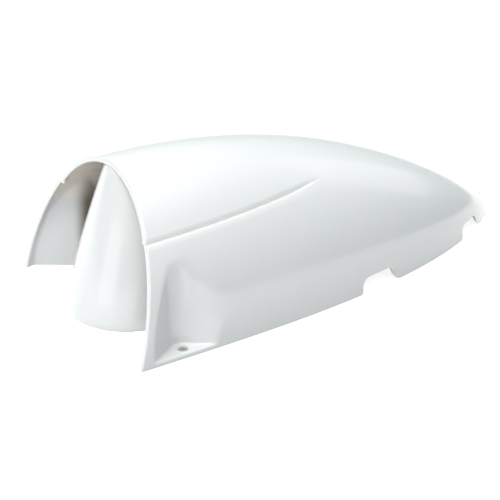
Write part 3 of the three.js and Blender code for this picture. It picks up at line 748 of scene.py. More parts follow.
def box_outline(low: Sequence[float], high: Sequence[float], radius: float) -> Array:
    """A rectangle from low to high with rounded corners, counterclockwise.

    Args:
        low: its lowest X and Y.
        high: its highest X and Y.
        radius: of its corners.

    Returns:
        Its points.
    """
    points = []
    for sx, sy, start in ((1, 1, 0), (-1, 1, 90), (-1, -1, 180), (1, -1, 270)):
        x = (high[0] - radius) if sx > 0 else (low[0] + radius)
        y = (high[1] - radius) if sy > 0 else (low[1] + radius)
        points += arc(radius, start, start + 90, 6, (x, y))
    return np.array(points)


def settled(piece: Piece) -> Piece:
    """Turns a piece's modifiers into its plain mesh.

    Args:
        piece: an object with modifiers.

    Returns:
        The piece.
    """
    graph = bpy.context.evaluated_depsgraph_get()
    graph.update()
    mesh = bpy.data.meshes.new_from_object(piece.evaluated_get(graph), depsgraph=graph)
    piece.modifiers.clear()
    piece.data = mesh
    return piece


def combined(piece: Piece, operation: str, others: Sequence[Piece]) -> Piece:
    """Joins other solids to a piece, or cuts them out of it, and removes them.

    Args:
        piece: the solid that stays.
        operation: "UNION" or "DIFFERENCE".
        others: the solids that go.

    Returns:
        The piece.
    """
    for other in others:
        modifier = piece.modifiers.new(other.name, "BOOLEAN")
        modifier.operation = operation
        modifier.solver = "MANIFOLD"
        modifier.object = other
    settled(piece)
    for other in others:
        bpy.data.objects.remove(other)
    return piece


def mark_inside(mesh: bpy.types.Mesh) -> None:
    """Turns the faces' marks into a point attribute, 1 on an inner face and 0 elsewhere.

    Args:
        mesh: the mesh, whose faces' material numbers are the marks.
    """
    marks, sizes = (np.zeros(len(mesh.polygons), dtype=np.int32) for _ in range(2))
    mesh.polygons.foreach_get("material_index", marks)
    mesh.polygons.foreach_get("loop_total", sizes)
    corners = np.zeros(len(mesh.loops), dtype=np.int32)
    mesh.loops.foreach_get("vertex_index", corners)
    mesh.polygons.foreach_set("material_index", np.zeros_like(marks))
    if marks.max() < 1:
        return
    total = np.bincount(corners, weights=np.repeat(marks, sizes), minlength=len(mesh.vertices))
    count = np.bincount(corners, minlength=len(mesh.vertices))
    layer = mesh.attributes.new("inside", "FLOAT", "POINT")
    layer.data.foreach_set("value", (total / np.maximum(count, 1)).astype(np.float32))


def finished(
    piece: Piece, finish: Finishes, body: str, nodes: Sequence[str], smooth: float = 35
) -> None:
    """Gives a piece its shading, finish and place in the model.

    Args:
        piece: the finished mesh object.
        finish: its finish.
        body: the body that it rides on.
        nodes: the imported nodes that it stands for.
        smooth: edges sharper than this many degrees stay sharp.
    """
    mesh = piece.data
    mark_inside(mesh)
    mesh.polygons.foreach_set("use_smooth", [True] * len(mesh.polygons))
    mesh.set_sharp_from_angle(angle=math.radians(smooth))
    mesh.materials.clear()
    mesh.materials.append(finish.value.material())
    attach(piece, body)
    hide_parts(*nodes)
    LOG.info("%s: %d faces for %s", piece.name, len(mesh.polygons), ", ".join(nodes))


# ---------------- screws


@dataclass(frozen=True)
class Screw:
    """A screw's sizes: a countersunk one has no height above its seat."""

    shank: float
    head: float
    height: float = 0.0

    @property
    def bore(self) -> float:
        """The radius of the hole that the shank goes through."""
        return self.shank + SEAT_GAP

    def sizes(self, length: float) -> dict[str, float]:
        """The sizes that the screw tree takes, by the names of its inputs.

        Args:
            length: from the head's top to the tip.

        Returns:
            The sizes.
        """
        if self.height > 0:
            flat, crown, side = self.head * 0.5, self.height * 0.42, self.height * 0.56
            under = self.height * 0.02
        else:
            flat, crown, side = self.head * 0.97, 0.06 * MM, 0.1 * MM
            under = self.head - self.shank
        return {
            "Shank Radius": self.shank,
            "Head Radius": self.head,
            "Length": length,
            "Flat Radius": flat,
            "Crown Height": crown,
            "Side Height": side,
            "Under Height": under,
        }

    def hole(self, place: Vector, bottom: float, top: float) -> Piece:
        """The plain hole for the shank, as a solid to cut with."""
        return hole(self.bore, place, bottom, top)

    def sunk_hole(self, place: Vector, top: float, bottom: float) -> Piece:
        """The hole for a countersunk screw, as a solid to cut with.

        Args:
            place: its axis.
            top: height of the face that the head is flush with.
            bottom: where the hole ends.

        Returns:
            The solid.
        """
        mouth = self.head + SEAT_GAP
        wide = mouth + 0.25 * MM
        cone = [(self.bore, top - mouth + self.bore), (mouth, top - 0.05 * MM)]
        above = [(wide, top + 0.2 * MM), (wide, top + 6 * MM)]
        profile = [(0, 0), (self.bore, bottom), *cone, *above, (0, 0)]
        return turned_solid("hole", profile, place, 48)


DECK_SCREW = Screw(2.1 * MM, 4.1 * MM)
CROWN_SCREW = Screw(2.0 * MM, 4.0 * MM, 2.6 * MM)
RING_SCREW = Screw(1.5 * MM, 2.8 * MM, 2.0 * MM)
KNOB_SCREW = Screw(1.2 * MM, 2.3 * MM)
CLIP_SCREW = Screw(1.7 * MM, 3.2 * MM)

FOOT_SCREWS, CLIP_SCREWS = (
    [f"{kind}_{side}" for side in SIDES] for kind in ("foot_screw", "tail_clip_screw")
)
CROWN_SCREWS = ["crown_screw_front", "crown_screw_rear"]
BASE_SCREWS = [f"base_screw_{side}_{row}" for side in SIDES for row in (1, 2, 3)]
RING_SCREWS = [f"ring_screw_{row}" for row in (1, 2, 3, 4)]
KNOB_SCREWS = ["knob_screw_1", "knob_screw_2"]


class NodeTree(Tree):
    """A Geometry Nodes tree with named inputs."""

    def __init__(self, name: str, inputs: dict[str, float | str]) -> None:
        """Makes the tree.

        Args:
            name: the tree's name.
            inputs: each input's name and first value; a text gives a socket type.
        """
        super().__init__(bpy.data.node_groups.new(name, "GeometryNodeTree"))
        face = self.tree.interface
        face.new_socket("Geometry", in_out="INPUT", socket_type="NodeSocketGeometry")
        face.new_socket("Geometry", in_out="OUTPUT", socket_type="NodeSocketGeometry")
        for key, value in inputs.items():
            kind = value if isinstance(value, str) else "NodeSocketFloat"
            socket = face.new_socket(key, in_out="INPUT", socket_type=kind)
            if not isinstance(value, str):
                socket.default_value = value
        self.given = self.tree.nodes.new("NodeGroupInput")

    def input(self, name: str) -> Value:
        """A named input of the tree."""
        return Value(self, self.given.outputs[name])

    def realized(self, geometry: Value) -> Value:
        """Geometry with its instances made real."""
        return self.node("GeometryNodeRealizeInstances", {}, {"Geometry": geometry})

    def vector(self, x: Any = 0.0, y: Any = 0.0, z: Any = 0.0) -> Value:
        """Three numbers or Values as one vector."""
        return self.node("ShaderNodeCombineXYZ", {}, {0: x, 1: y, 2: z})

    def raised(self, geometry: Value, height: Value) -> Value:
        """Geometry moved up."""
        sockets = {"Geometry": geometry, "Translation": self.vector(z=height)}
        return self.node("GeometryNodeTransform", {}, sockets)

    def joined(self, parts: Sequence[Value]) -> Value:
        """Several geometries as one."""
        return self.node("GeometryNodeJoinGeometry", {}, {"Geometry": list(parts)})

    def finish(self, geometry: Value, material: bpy.types.Material) -> None:
        """Realizes the instances, sets the material and ends the tree.

        Args:
            geometry: what the tree has made.
            material: its finish.
        """
        sockets = {"Geometry": self.realized(geometry), "Material": material}
        dressed = self.node("GeometryNodeSetMaterial", {}, sockets)
        out = self.tree.nodes.new("NodeGroupOutput")
        self.tree.links.new(dressed.socket, out.inputs[0])

    def grow(self, seed: Piece, values: dict[str, Any]) -> Piece:
        """Runs the tree on an object and turns the result into its plain mesh.

        Args:
            seed: the object that the tree starts from.
            values: the tree's inputs, by name.

        Returns:
            The same object.
        """
        modifier = seed.modifiers.new(self.tree.name, "NODES")
        modifier.node_group = self.tree
        for item in self.tree.interface.items_tree:
            if item.in_out == "INPUT" and item.name in values:
                modifier[item.identifier] = values[item.name]
        return settled(seed)


def point_seed(name: str, places: Sequence[Vector]) -> Piece:
    """An object with one loose point at each place.

    Args:
        name: the object's name.
        places: where the points are.

    Returns:
        The object.
    """
    mesh = bpy.data.meshes.new(name)
    mesh.from_pydata([tuple(place) for place in places], [], [])
    made = bpy.data.objects.new(name, mesh)
    bpy.context.scene.collection.objects.link(made)
    return made


class ScrewTree(NodeTree):
    """Turns each point into a cross-recessed screw whose head's top is at the point.

    The dome's rings are given by how far out and down they lie, the tip by its share of the
    shank, and the recess by shares of the head's radius.
    """

    STEPS = 32
    DOME = ((0.45, 0.13), (0.8, 0.45))
    TIP = 0.3
    BARS = ((1.0, 0.2), (0.2, 1.0))
    BAR_DEPTH = 0.4
    SOCKET = {"Radius Top": 0.26, "Radius Bottom": 0.08, "Depth": 0.34}

    def __init__(self, material: bpy.types.Material) -> None:
        """Builds the tree.

        Args:
            material: the finish.
        """
        names = ["Shank Radius", "Head Radius", "Length", "Flat Radius"]
        names += ["Crown Height", "Side Height", "Under Height"]
        inputs: dict[str, Any] = dict.fromkeys(names, 1 * MM)
        super().__init__("Screws", {**inputs, "Turned Over": 0.0})
        shank, head, length, flat, crown, side, under = (self.input(name) for name in names)
        tip = shank * self.TIP
        rings = [
            (flat, crown * 0),
            *((flat + (head - flat) * out, crown * down) for out, down in self.DOME),
            (head, crown),
            (head, crown + side),
            (shank, crown + side + under),
            (shank, length - tip),
            (shank - tip, length),
        ]
        parts = []
        for (top, above), (bottom, below) in zip(rings[:-1], rings[1:]):
            sockets = {"Vertices": self.STEPS, "Radius Top": top, "Radius Bottom": bottom}
            sockets["Depth"] = below - above
            cone = self.node("GeometryNodeMeshCone", {"fill_type": "NONE"}, sockets)
            parts.append(self.raised(cone, -below))
        for (radius, depth), last in ((rings[0], False), (rings[-1], True)):
            sockets = {"Vertices": self.STEPS, "Radius": radius}
            disc = self.node("GeometryNodeMeshCircle", {"fill_type": "NGON"}, sockets)
            if last:
                disc = self.node("GeometryNodeFlipFaces", {}, {"Mesh": disc})
            parts.append(self.raised(disc, -depth))
        sockets = {"Geometry": self.joined(parts), "Distance": 0.001 * MM}
        solid = self.node("GeometryNodeMergeByDistance", {}, sockets)
        settings = {"operation": "DIFFERENCE", "solver": "EXACT"}
        sockets = {"Mesh 1": solid, "Mesh 2": self.recess(head)}
        screw = self.node("GeometryNodeMeshBoolean", settings, sockets)
        sockets = {2: 0.0, 3: math.pi, "Seed": 7}
        turns = self.node("FunctionNodeRandomValue", {"data_type": "FLOAT"}, sockets, 1)
        over = self.vector(self.input("Turned Over") * math.pi, 0, turns)
        sockets = {"Points": self.input("Geometry"), "Instance": screw, "Rotation": over}
        self.finish(self.node("GeometryNodeInstanceOnPoints", {}, sockets), material)

    def recess(self, head: Value) -> list[Value]:
        """The cross recess: two bars and a tapered middle.

        Args:
            head: the head's radius.

        Returns:
            The solids to cut with.
        """
        cuts = []
        for long, wide in self.BARS:
            size = self.vector(head * long, head * wide, head * self.BAR_DEPTH)
            cuts.append(self.node("GeometryNodeMeshCube", {}, {"Size": size}))
        sockets = {name: head * share for name, share in self.SOCKET.items()}
        cone = self.node("GeometryNodeMeshCone", {}, {"Vertices": 16, **sockets})
        return [*cuts, self.raised(cone, head * -self.SOCKET["Depth"])]


class Screws:
    """All the screws, one piece for each size on each body."""

    def __init__(self) -> None:
        """Makes the tree that they share."""
        self.tree = ScrewTree(Finishes.STAINLESS.value.material())

    def add(
        self, name: str, screw: Screw, body: str, nodes: Sequence[str], over: bool = False
    ) -> None:
        """Adds the screws of one size, where their nodes are.

        Args:
            name: the piece's name.
            screw: their size.
            body: the body they ride on.
            nodes: the nodes they stand for.
            over: True where the heads point down.
        """
        tops = []
        for node in nodes:
            low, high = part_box(node)
            tops.append(node_axis(node) + Vector((0, 0, low.z if over else high.z)))
        values = {**screw.sizes(high.z - low.z), "Turned Over": 1.0 if over else 0.0}
        piece = self.tree.grow(point_seed(name, tops), values)
        finished(piece, Finishes.STAINLESS, body, nodes, 32)


def node_axis(node: str) -> Vector:
    """The vertical axis through the middle of a node."""
    low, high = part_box(node)
    return Vector(((low.x + high.x) / 2, (low.y + high.y) / 2, 0))


# ---------------- hood


def ease(value: Array, low: float, high: float) -> Array:
    """A smooth step from 0 at low to 1 at high."""
    share = np.clip((value - low) / (high - low), 0, 1)
    return share * share * (3 - 2 * share)


def soft_minimum(first: Array, second: Array, radius: Any) -> Array:
    """The lower of two surfaces, rounded where they cross."""
    near = np.maximum(radius - np.abs(first - second), 0) / radius
    return np.minimum(first, second) - near * near * radius / 4


@dataclass(frozen=True)
class Notch:
    """A drain notch in the foot: upright and rounded in front, flared out to the deck behind."""

    front: float
    rear: float
    height: float
    top_radius: float
    foot_radius: float

    LIP = 3 * MM
    STEPS = (5, 2, 7, 5, 4, 10)

    def curves(self) -> list[Profile]:
        """Its outline as curves with a start, a control point and an end.

        Returns:
            The curves, from front to rear.
        """
        front, rear, top = self.front, self.rear, self.height
        lip = self.LIP
        upright = top - self.top_radius
        flare = (rear + self.foot_radius * 0.3, 0.5 * MM)
        return [
            ((front - lip, 0), (front, 0), (front, lip)),
            ((front, lip), (front, (lip + upright) / 2), (front, upright)),
            ((front, upright), (front, top), (front + self.top_radius, top)),
            ((front + self.top_radius, top), (rear - 12 * MM, top), (rear - 5 * MM, top)),
            ((rear - 5 * MM, top), (rear - 3 * MM, top), (rear - 2 * MM, top - lip)),
            ((rear - 2 * MM, top - lip), flare, (rear + self.foot_radius, 0)),
        ]

    def outline(self) -> Array:
        """X and Z of points along the outline, from front to rear.

        Returns:
            An array of points by X and Z, from front to rear.
        """
        points = [self.curves()[0][0]]
        for curve, count in zip(self.curves(), self.STEPS):
            for k in range(1, count + 1):
                t = k / count
                weights = ((1 - t) ** 2, 2 * t * (1 - t), t * t)
                points.append(tuple(sum(w * p[a] for w, p in zip(weights, curve)) for a in (0, 1)))
        return np.array(points)


@dataclass(frozen=True)
class Stations:
    """Where the points of one face of the hood are drawn, from the mouth to the tail.

    high is each station's X high on the hood, foot its X and Z on the foot's outline, into the
    direction there into the wall, and depth how far it lies inside the outer surface.
    """

    high: Array
    foot: Array
    into: Array
    depth: Array


@dataclass
class Hood:
    """The moulded hood: a swelling shell with a style step, foot pockets and drain notches."""

    front: float
    length: float
    half_width: float
    height: float
    plan_powers: Pair = (2.97, 1.447)
    crown_share: float = 0.9695
    crown_swell: float = 0.793
    crown_powers: Pair = (1.293, 1.11)
    squareness: Pair = (1.954, 0.246)
    wall: float = 3 * MM
    bead: float = 1.9 * MM
    bead_reach: Pair = (1.5 * MM, 8 * MM)
    mouth_lean: float = 0.281
    lean_reach: float = 160 * MM
    tail_solid: float = 14 * MM
    tail_flat: float = 0.3 * MM
    step_height: float = 88.8 * MM
    step_rise: float = 0.042
    step_depth: float = 0.9 * MM
    step_ledge: float = 1.9 * MM
    cove_depth: float = 2.2 * MM
    cove_height: float = 3 * MM
    step_blend: float = 24 * MM
    step_limit: float = 0.83
    ledge_limit: float = 0.3
    step_full_end: float = 165 * MM
    step_end: float = 212 * MM
    pad: float = 4.2 * MM
    pocket_corner: float = 40 * MM
    pocket_depth: float = 19.6 * MM
    pocket_front: float = 14 * MM
    pocket_rear: float = 67 * MM
    pocket_edge: float = 2 * MM
    pocket_slant: float = 0.61
    pocket_lean: Pair = (0.04, -0.05)
    pocket_round: Pair = (5 * MM, 0.07)
    pocket_soft: Pair = (0.9 * MM, 11 * MM)
    pocket_fade: Pair = (41 * MM, 62 * MM)
    pocket_back: Pair = (6 * MM, 4.9 * MM)
    rim_radius: float = 1.3 * MM
    foot_radius: float = 0.45 * MM
    foot_reach: float = 1.1 * MM
    blend_height: float = 34 * MM
    blend_limit: float = 0.6
    fine_share: float = 0.44
    crown_crowding: float = 1.7
    posts: tuple[float, ...] = (58 * MM, 86 * MM)
    post_radius: float = 5.5 * MM
    post_bottom: float = 108.3 * MM
    post_top: float = 129.3 * MM
    post_bore_top: float = 122.7 * MM
    tongue: Profile = ((405 * MM, -8 * MM, 9.2 * MM), (438 * MM, 8 * MM, 12.7 * MM))
    notches: tuple[Notch, ...] = (
        Notch(224 * MM, 261 * MM, 15.2 * MM, 9 * MM, 11 * MM),
        Notch(368 * MM, 396 * MM, 14 * MM, 5 * MM, 13 * MM),
    )

    PAD_ROUNDING = ((-0.7, 0), (-0.35, 1), (0, 2), (0.35, 3), (0.8, 4), (1.3, 0))
    PAD_EDGE = {1: 0.2 * MM, 2: 0.7 * MM}
    PAD_FILLET = {3: 1.2 * MM, 4: 0.35 * MM}

    @classmethod
    def from_frame(cls) -> "Hood":
        """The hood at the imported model's own size."""
        low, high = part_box("hood_shell")
        return cls(low.x, high.x - low.x + cls.tail_flat, high.y, high.z)

    def half_width_at(self, x: Array) -> Array:
        """Half of the width at the deck.

        Args:
            x: distances behind the mouth's foot.

        Returns:
            The half widths.
        """
        along = np.clip(x / self.length, 0, 1)
        fall, bluntness = self.plan_powers
        return self.half_width * (1 - along**fall) ** (1 / bluntness)

    def height_at(self, x: Array) -> Array:
        """The height of the crown line.

        Args:
            x: distances behind the mouth's foot.

        Returns:
            The heights.
        """
        along = np.clip(x / self.length, 0, 1)
        fall, bluntness = self.crown_powers
        front = self.height * self.crown_share
        return front * (1 + self.crown_swell * along) * (1 - along**fall) ** (1 / bluntness)

    def squareness_at(self, x: Array) -> Array:
        """How square the section is: 2 is an ellipse."""
        front, more = self.squareness
        return front + more * np.clip(x / self.length, 0, 1)

    def wall_at(self, behind: Array) -> Array:
        """The wall's thickness at a distance behind the mouth, where it has a bead."""
        return self.wall + self.bead * (1 - ease(behind, *self.bead_reach))

    def section_at(self, x: Array, depth: Array) -> tuple[Array, Array]:
        """Half width and height of the section, a depth inside the outer surface.

        Args:
            x: distances behind the mouth's foot.
            depth: how far inside the outer surface.

        Returns:
            The half widths and the heights.
        """
        gap = 0.5 * MM
        sizes = []
        for size_at in (self.half_width_at, self.height_at):
            slope = (size_at(x + gap) - size_at(x - gap)) / (2 * gap)
            sizes.append(size_at(x) - depth * np.sqrt(1 + slope * slope))
        return sizes[0], sizes[1]

    def step_at(self, x: Array, depth: Array) -> Array:
        """Height of the style step, kept below the crown where the hood is low."""
        limit = self.step_limit * self.section_at(x, depth)[1]
        return np.minimum(self.step_height + self.step_rise * x, limit)

    def blend_at(self, x: Array, depth: Array) -> Array:
        """Height up to which the rows follow the foot's outline."""
        return np.minimum(self.blend_height, self.blend_limit * self.section_at(x, depth)[1])

    def side_level(self, x: Array, depth: Array, share: float) -> Array:
        """Height a share of the way up from the foot's rows to the step."""
        low = self.blend_at(x, depth)
        return low + (self.step_at(x, depth) - low) * share

    def ledge_level(self, x: Array, depth: Array, share: float) -> Array:
        """Height a share of the way up the step's ledge, which is less where the hood is low.

        Args:
            x: distances behind the mouth's foot.
            depth: how far inside the outer surface.
            share: how far up, from 0 to 1.

        Returns:
            The heights.
        """
        step = self.step_at(x, depth)
        room = self.ledge_limit * (self.section_at(x, depth)[1] - step)
        return step + np.minimum(self.step_ledge, room) * share

    def crown_level(self, x: Array, depth: Array, share: float) -> Array:
        """Height a share of the way round from the ledge to the crown line.

        Args:
            x: distances behind the mouth's foot.
            depth: how far inside the outer surface.
            share: how far up, from 0 to 1.

        Returns:
            The heights.
        """
        height = self.section_at(x, depth)[1]
        power = self.squareness_at(x)
        low = np.arcsin((self.ledge_level(x, depth, 1) / height) ** (power / 2))
        turn = low + (math.pi / 2 - low) * share
        return height * np.sin(turn) ** (2 / power)

    def inset_at(self, x: Array, above: Array) -> Array:
        """How far the surface is set in at a height above the step.

        Args:
            x: distances behind the mouth's foot.
            above: heights above the step.

        Returns:
            How far in.
        """
        fade = 1 - ease(x, self.step_full_end, self.step_end)
        lead = ease(above, 0, self.step_ledge)
        rise = 1 - ease(above, self.step_ledge, self.step_ledge + self.step_blend)
        cove = np.clip(1 - (above - self.step_ledge) / self.cove_height, 0, 1) ** 2
        cove = np.where(above > self.step_ledge, cove, 1)
        return (self.step_depth * rise + self.cove_depth * cove) * fade * lead

    def pocket_side(self, x: Array, z: Array) -> Array:
        """How far out the two leaning facets of a foot pocket lie.

        Args:
            x: distances behind the mouth's foot.
            z: heights.

        Returns:
            The half widths.
        """
        above = z - self.pad
        corner_x = self.pocket_corner + self.pocket_lean[0] * above
        corner_y = self.half_width - self.pocket_depth + self.pocket_lean[1] * above
        rise = self.pocket_depth - self.pocket_edge
        front = rise / (self.pocket_corner - self.pocket_front)
        rear = rise / (self.pocket_rear - self.pocket_corner)
        off = x - corner_x
        near = self.pocket_round[0] + self.pocket_round[1] * np.maximum(above, 0)
        rounded = np.where(np.abs(off) < near, off * off / (2 * near) + near / 2, np.abs(off))
        return corner_y + (rear - front) / 2 * off + (rear + front) / 2 * rounded

    def side_at(self, x: Array, z: Array, depth: Array) -> Array:
        """Half width at a height on the smooth hood, before the step and the pockets.

        Args:
            x: distances behind the mouth's foot.
            z: heights.
            depth: how far inside the outer surface.

        Returns:
            The half widths.
        """
        half, height = self.section_at(x, depth)
        power = self.squareness_at(x)
        return half * np.maximum(1 - np.clip(z / height, 0, 1) ** power, 0) ** (1 / power)

    def outline(self) -> tuple[Array, Array]:
        """Each station's X high on the hood, and its X and Z on the foot's outline.

        Returns:
            X of each station, and an array of its X and Z on the foot's outline.
        """
        gap = 6 * MM
        first, second = self.notches
        marks = (self.rim_radius, 8 * MM, 82 * MM, first.front - Notch.LIP - gap)
        high = [0, self.rim_radius]
        for start, end, count in zip(marks, marks[1:], (5, 66, 26)):
            high += list(np.linspace(start, end, count)[1:])
        foot = [(x, 0.0) for x in high]
        for notch in self.notches:
            points = notch.outline()
            start = notch.front - Notch.LIP - gap / 2
            end = notch.rear + notch.foot_radius + gap / 2
            high += list(np.linspace(start, end, len(points)))
            foot += [tuple(point) for point in points]
            if notch is first:
                plain = np.linspace(end + gap / 2, second.front - Notch.LIP - gap, 16)
                high += list(plain)
                foot += [(x, 0.0) for x in plain]
        tip = self.length - self.tail_flat
        plain = high[-1] + (tip - high[-1]) * np.sin(np.linspace(0, math.pi / 2, 22))[1:]
        high += list(plain)
        foot += [(x, 0.0) for x in plain]
        return np.array(high), np.array(foot)

    def stations(self, inside: bool) -> Stations:
        """The stations of one face.

        Args:
            inside: True for the inner face, whose tail is drawn in to leave the tail solid.

        Returns:
            The stations.
        """
        high, foot = self.outline()
        along = np.gradient(foot, axis=0)
        along /= np.linalg.norm(along, axis=1, keepdims=True)
        into = np.stack([-along[:, 1], along[:, 0]], -1)
        if not inside:
            return Stations(high, foot, into, np.zeros(len(high)))
        depth = self.wall_at(high)
        bend = self.notches[-1].rear + self.notches[-1].foot_radius
        room = (self.length - self.tail_solid - bend) / (self.length - self.tail_flat - bend)
        for x in (high, foot[:, 0]):
            x[:] = np.where(x > bend, bend + (x - bend) * room, x)
        return Stations(high, foot, into, depth)

    def levels(self) -> list[tuple[float, int]]:
        """Heights above the foot and the part of the pad's rounding that each takes.

        Returns:
            Each height with its part, or 0.
        """
        levels = [(2.2 * MM, 0), *((self.pad + up * MM, part) for up, part in self.PAD_ROUNDING)]
        plain = np.linspace(levels[-1][0], self.blend_height, 25)[1:]
        return levels + [(z, 0) for z in plain]

    def surface(self, inside: bool) -> Array:
        """Points of the left half, from the mouth to the tail and from the foot to the crown.

        Args:
            inside: True for the inner face.

        Returns:
            An array of stations by rows by X, Y, Z, with the sharp edge lines included.
        """
        at = self.stations(inside)
        rows = self.foot_rows(at)
        near = self.fine_share
        shares = {
            self.side_level: [*np.linspace(0, near, 18)[1:], *np.linspace(near, 1, 10)[1:]],
            self.ledge_level: (0.17, 0.34, 0.5, 0.67, 0.84, 1.0),
            self.crown_level: np.linspace(0, 1, 42)[1:] ** self.crown_crowding,
        }
        for level, steps in shares.items():
            for share in steps:
                rows.append(self.leaning(at, lambda x: level(x, at.depth, share), at.high))
        rows[-1][:, 1] = 0
        return np.stack(rows, 1)

    def foot_rows(self, at: Stations) -> list[Array]:
        """The rows that follow the foot's outline, lowest first.

        Args:
            at: the stations.

        Returns:
            The rows of points.
        """
        rows = []
        for distance in (0.0, self.foot_radius, self.foot_reach):
            near = at.foot + at.into * distance
            rows.append(self.leaning(at, lambda x: near[:, 1], near[:, 0]))
        start, low = near[:, 0], near[:, 1]
        for height, part in self.levels():
            share = (height - self.foot_reach) / (self.blend_height - self.foot_reach)
            base = start + (at.high - start) * share
            rows.append(self.leaning(
                at, lambda x: low + (self.blend_at(x, at.depth) - low) * share, base, part
            ))
        return rows

    def outward(
        self, x: Array, side: Array, z: Array, depth: Array
    ) -> tuple[Array, Array]:
        """The Y and Z of the surface's direction outwards within its section.

        Args:
            x: distances behind the mouth's foot.
            side: half widths.
            z: heights.
            depth: how far inside the outer surface.

        Returns:
            The shares of Y and of Z.
        """
        half, height = self.section_at(x, depth)
        power = self.squareness_at(x)
        across = np.clip(side / half, 0, 1) ** (power - 1) / half
        upward = np.clip(z / height, 0, 1) ** (power - 1) / height
        size = np.maximum(np.hypot(across, upward), 1e-9)
        return across / size, upward / size

    def leaning(self, at: Stations, level: Level, base: Array, part: int = 0) -> Array:
        """One row of points, moved back with the leaning mouth.

        Args:
            at: the stations.
            level: the row's height, as a function of X that is called at once.
            base: X of each point before the lean.
            part: the part of the pad's rounding that the row takes, or 0.

        Returns:
            X, Y, Z of each point.
        """
        fade = np.clip(1 - at.high / self.lean_reach, 0, 1) ** 2
        x = base.copy()
        for _ in range(6):
            z = level(x)
            x = base + self.mouth_lean * z * fade
        side = self.side_at(x, z, at.depth)
        y = self.pocketed(x, z, side, at.depth, part)
        inset = self.inset_at(x, z - self.step_at(x, at.depth))
        across, upward = self.outward(x, side, z, at.depth)
        return np.stack([x + self.front, y - inset * across, z - inset * upward], -1)

    def pocketed(
        self, x: Array, z: Array, side: Array, depth: Array, part: int
    ) -> Array:
        """The half width with the foot pockets cut in.

        Args:
            x: stations.
            z: heights.
            side: half width of the smooth hood there.
            depth: how far inside the outer surface.
            part: the part of the pad's rounding, or 0.

        Returns:
            The half width.
        """
        crisp, soft = self.pocket_soft
        if depth.max() > 0:
            back, deeper = self.pocket_back
            behind = depth * math.hypot(1, self.pocket_slant) + deeper
            return soft_minimum(side, self.pocket_side(x - back, z) - behind, crisp)
        rear = ease(x, *self.pocket_fade) * ease(z, self.pad, self.blend_height)
        cut = soft_minimum(side, self.pocket_side(x, z), crisp + (soft - crisp) * rear)
        shown = ease(side - cut, 0, 2.5 * MM)
        if part in self.PAD_EDGE:
            return side - self.PAD_EDGE[part] * shown
        if part in self.PAD_FILLET:
            return cut + self.PAD_FILLET[part] * shown
        return np.where(z > self.pad, cut, side)

    def shell(self) -> Piece:
        """The closed shell with its rounded rim and foot.

        Returns:
            The shell.
        """
        skin = Skin()
        halves = [self.surface(inside) for inside in (False, True)]
        flip = np.array([1, -1, 1])
        outer, inner = (np.concatenate([h, h[:, -2::-1] * flip], 1) for h in halves)
        outside, inside, (left, right) = skin.wall(outer, inner, (0,))
        skin.face(outside)
        skin.face(inside[::-1])
        skin.face([*right, *left[::-1]])
        return skin.object("hood")

    def roof_gap(self, x: Array, y: Array, z: Array) -> Array:
        """How far points are outside the room under the hood, below 0 where they're within it.

        Args:
            x: distances behind the mouth's foot.
            y: places across.
            z: heights.

        Returns:
            The gap of each point, as a share of the size.
        """
        depth = self.wall_at(x - self.mouth_lean * z) + SEAT_GAP
        half, height = self.section_at(x, depth)
        power = self.squareness_at(x)
        across, upward = self.outward(x, np.abs(y), z, depth)
        inset = self.inset_at(x, z - self.step_at(x, depth))
        wide = (np.abs(y) + inset * across) / half
        tall = (z + inset * upward) / height
        return wide**power + tall**power - 1

    def fittings(self) -> list[Piece]:
        """The posts under the crown that the deflector hangs from, and the tongue in the tail.

        Returns:
            The solids.
        """
        edge = 0.4 * MM
        radius, flare, top = self.post_radius, self.post_radius + 2 * MM, self.post_top
        profile = [
            (0, 0),
            (radius - edge, self.post_bottom),
            (radius, self.post_bottom + edge),
            (radius, top - 3 * MM),
            (radius + 0.5 * MM, top - 1.5 * MM),
            (flare, top),
            (flare, top + 0.6 * MM),
            (0, 0),
        ]
        made = [turned_solid("post", profile, self.at(place), 48) for place in self.posts]
        (start, right, low), (end, left, high) = self.tongue
        outline = box_outline((start + self.front, right), (end + self.front, left), 1.5 * MM)
        return [*made, slab("tongue", outline, low, high, 0.6 * MM)]

    def at(self, x: float, y: float = 0.0) -> Vector:
        """A place on the deck, by its distance behind the mouth's foot."""
        return Vector((x + self.front, y, 0))

    def build(self) -> None:
        """The whole hood, with its screw holes."""
        hood = combined(self.shell(), "UNION", self.fittings())
        cuts = [DECK_SCREW.sunk_hole(node_axis(node), self.pad, CUT_FROM) for node in FOOT_SCREWS]
        for place in self.posts:
            cuts.append(CROWN_SCREW.hole(self.at(place), 100 * MM, self.post_bore_top))
        combined(hood, "DIFFERENCE", cuts)
        finished(hood, Finishes.GELCOAT, "cowl", ["hood_shell"])


# ---------------- deflector cone


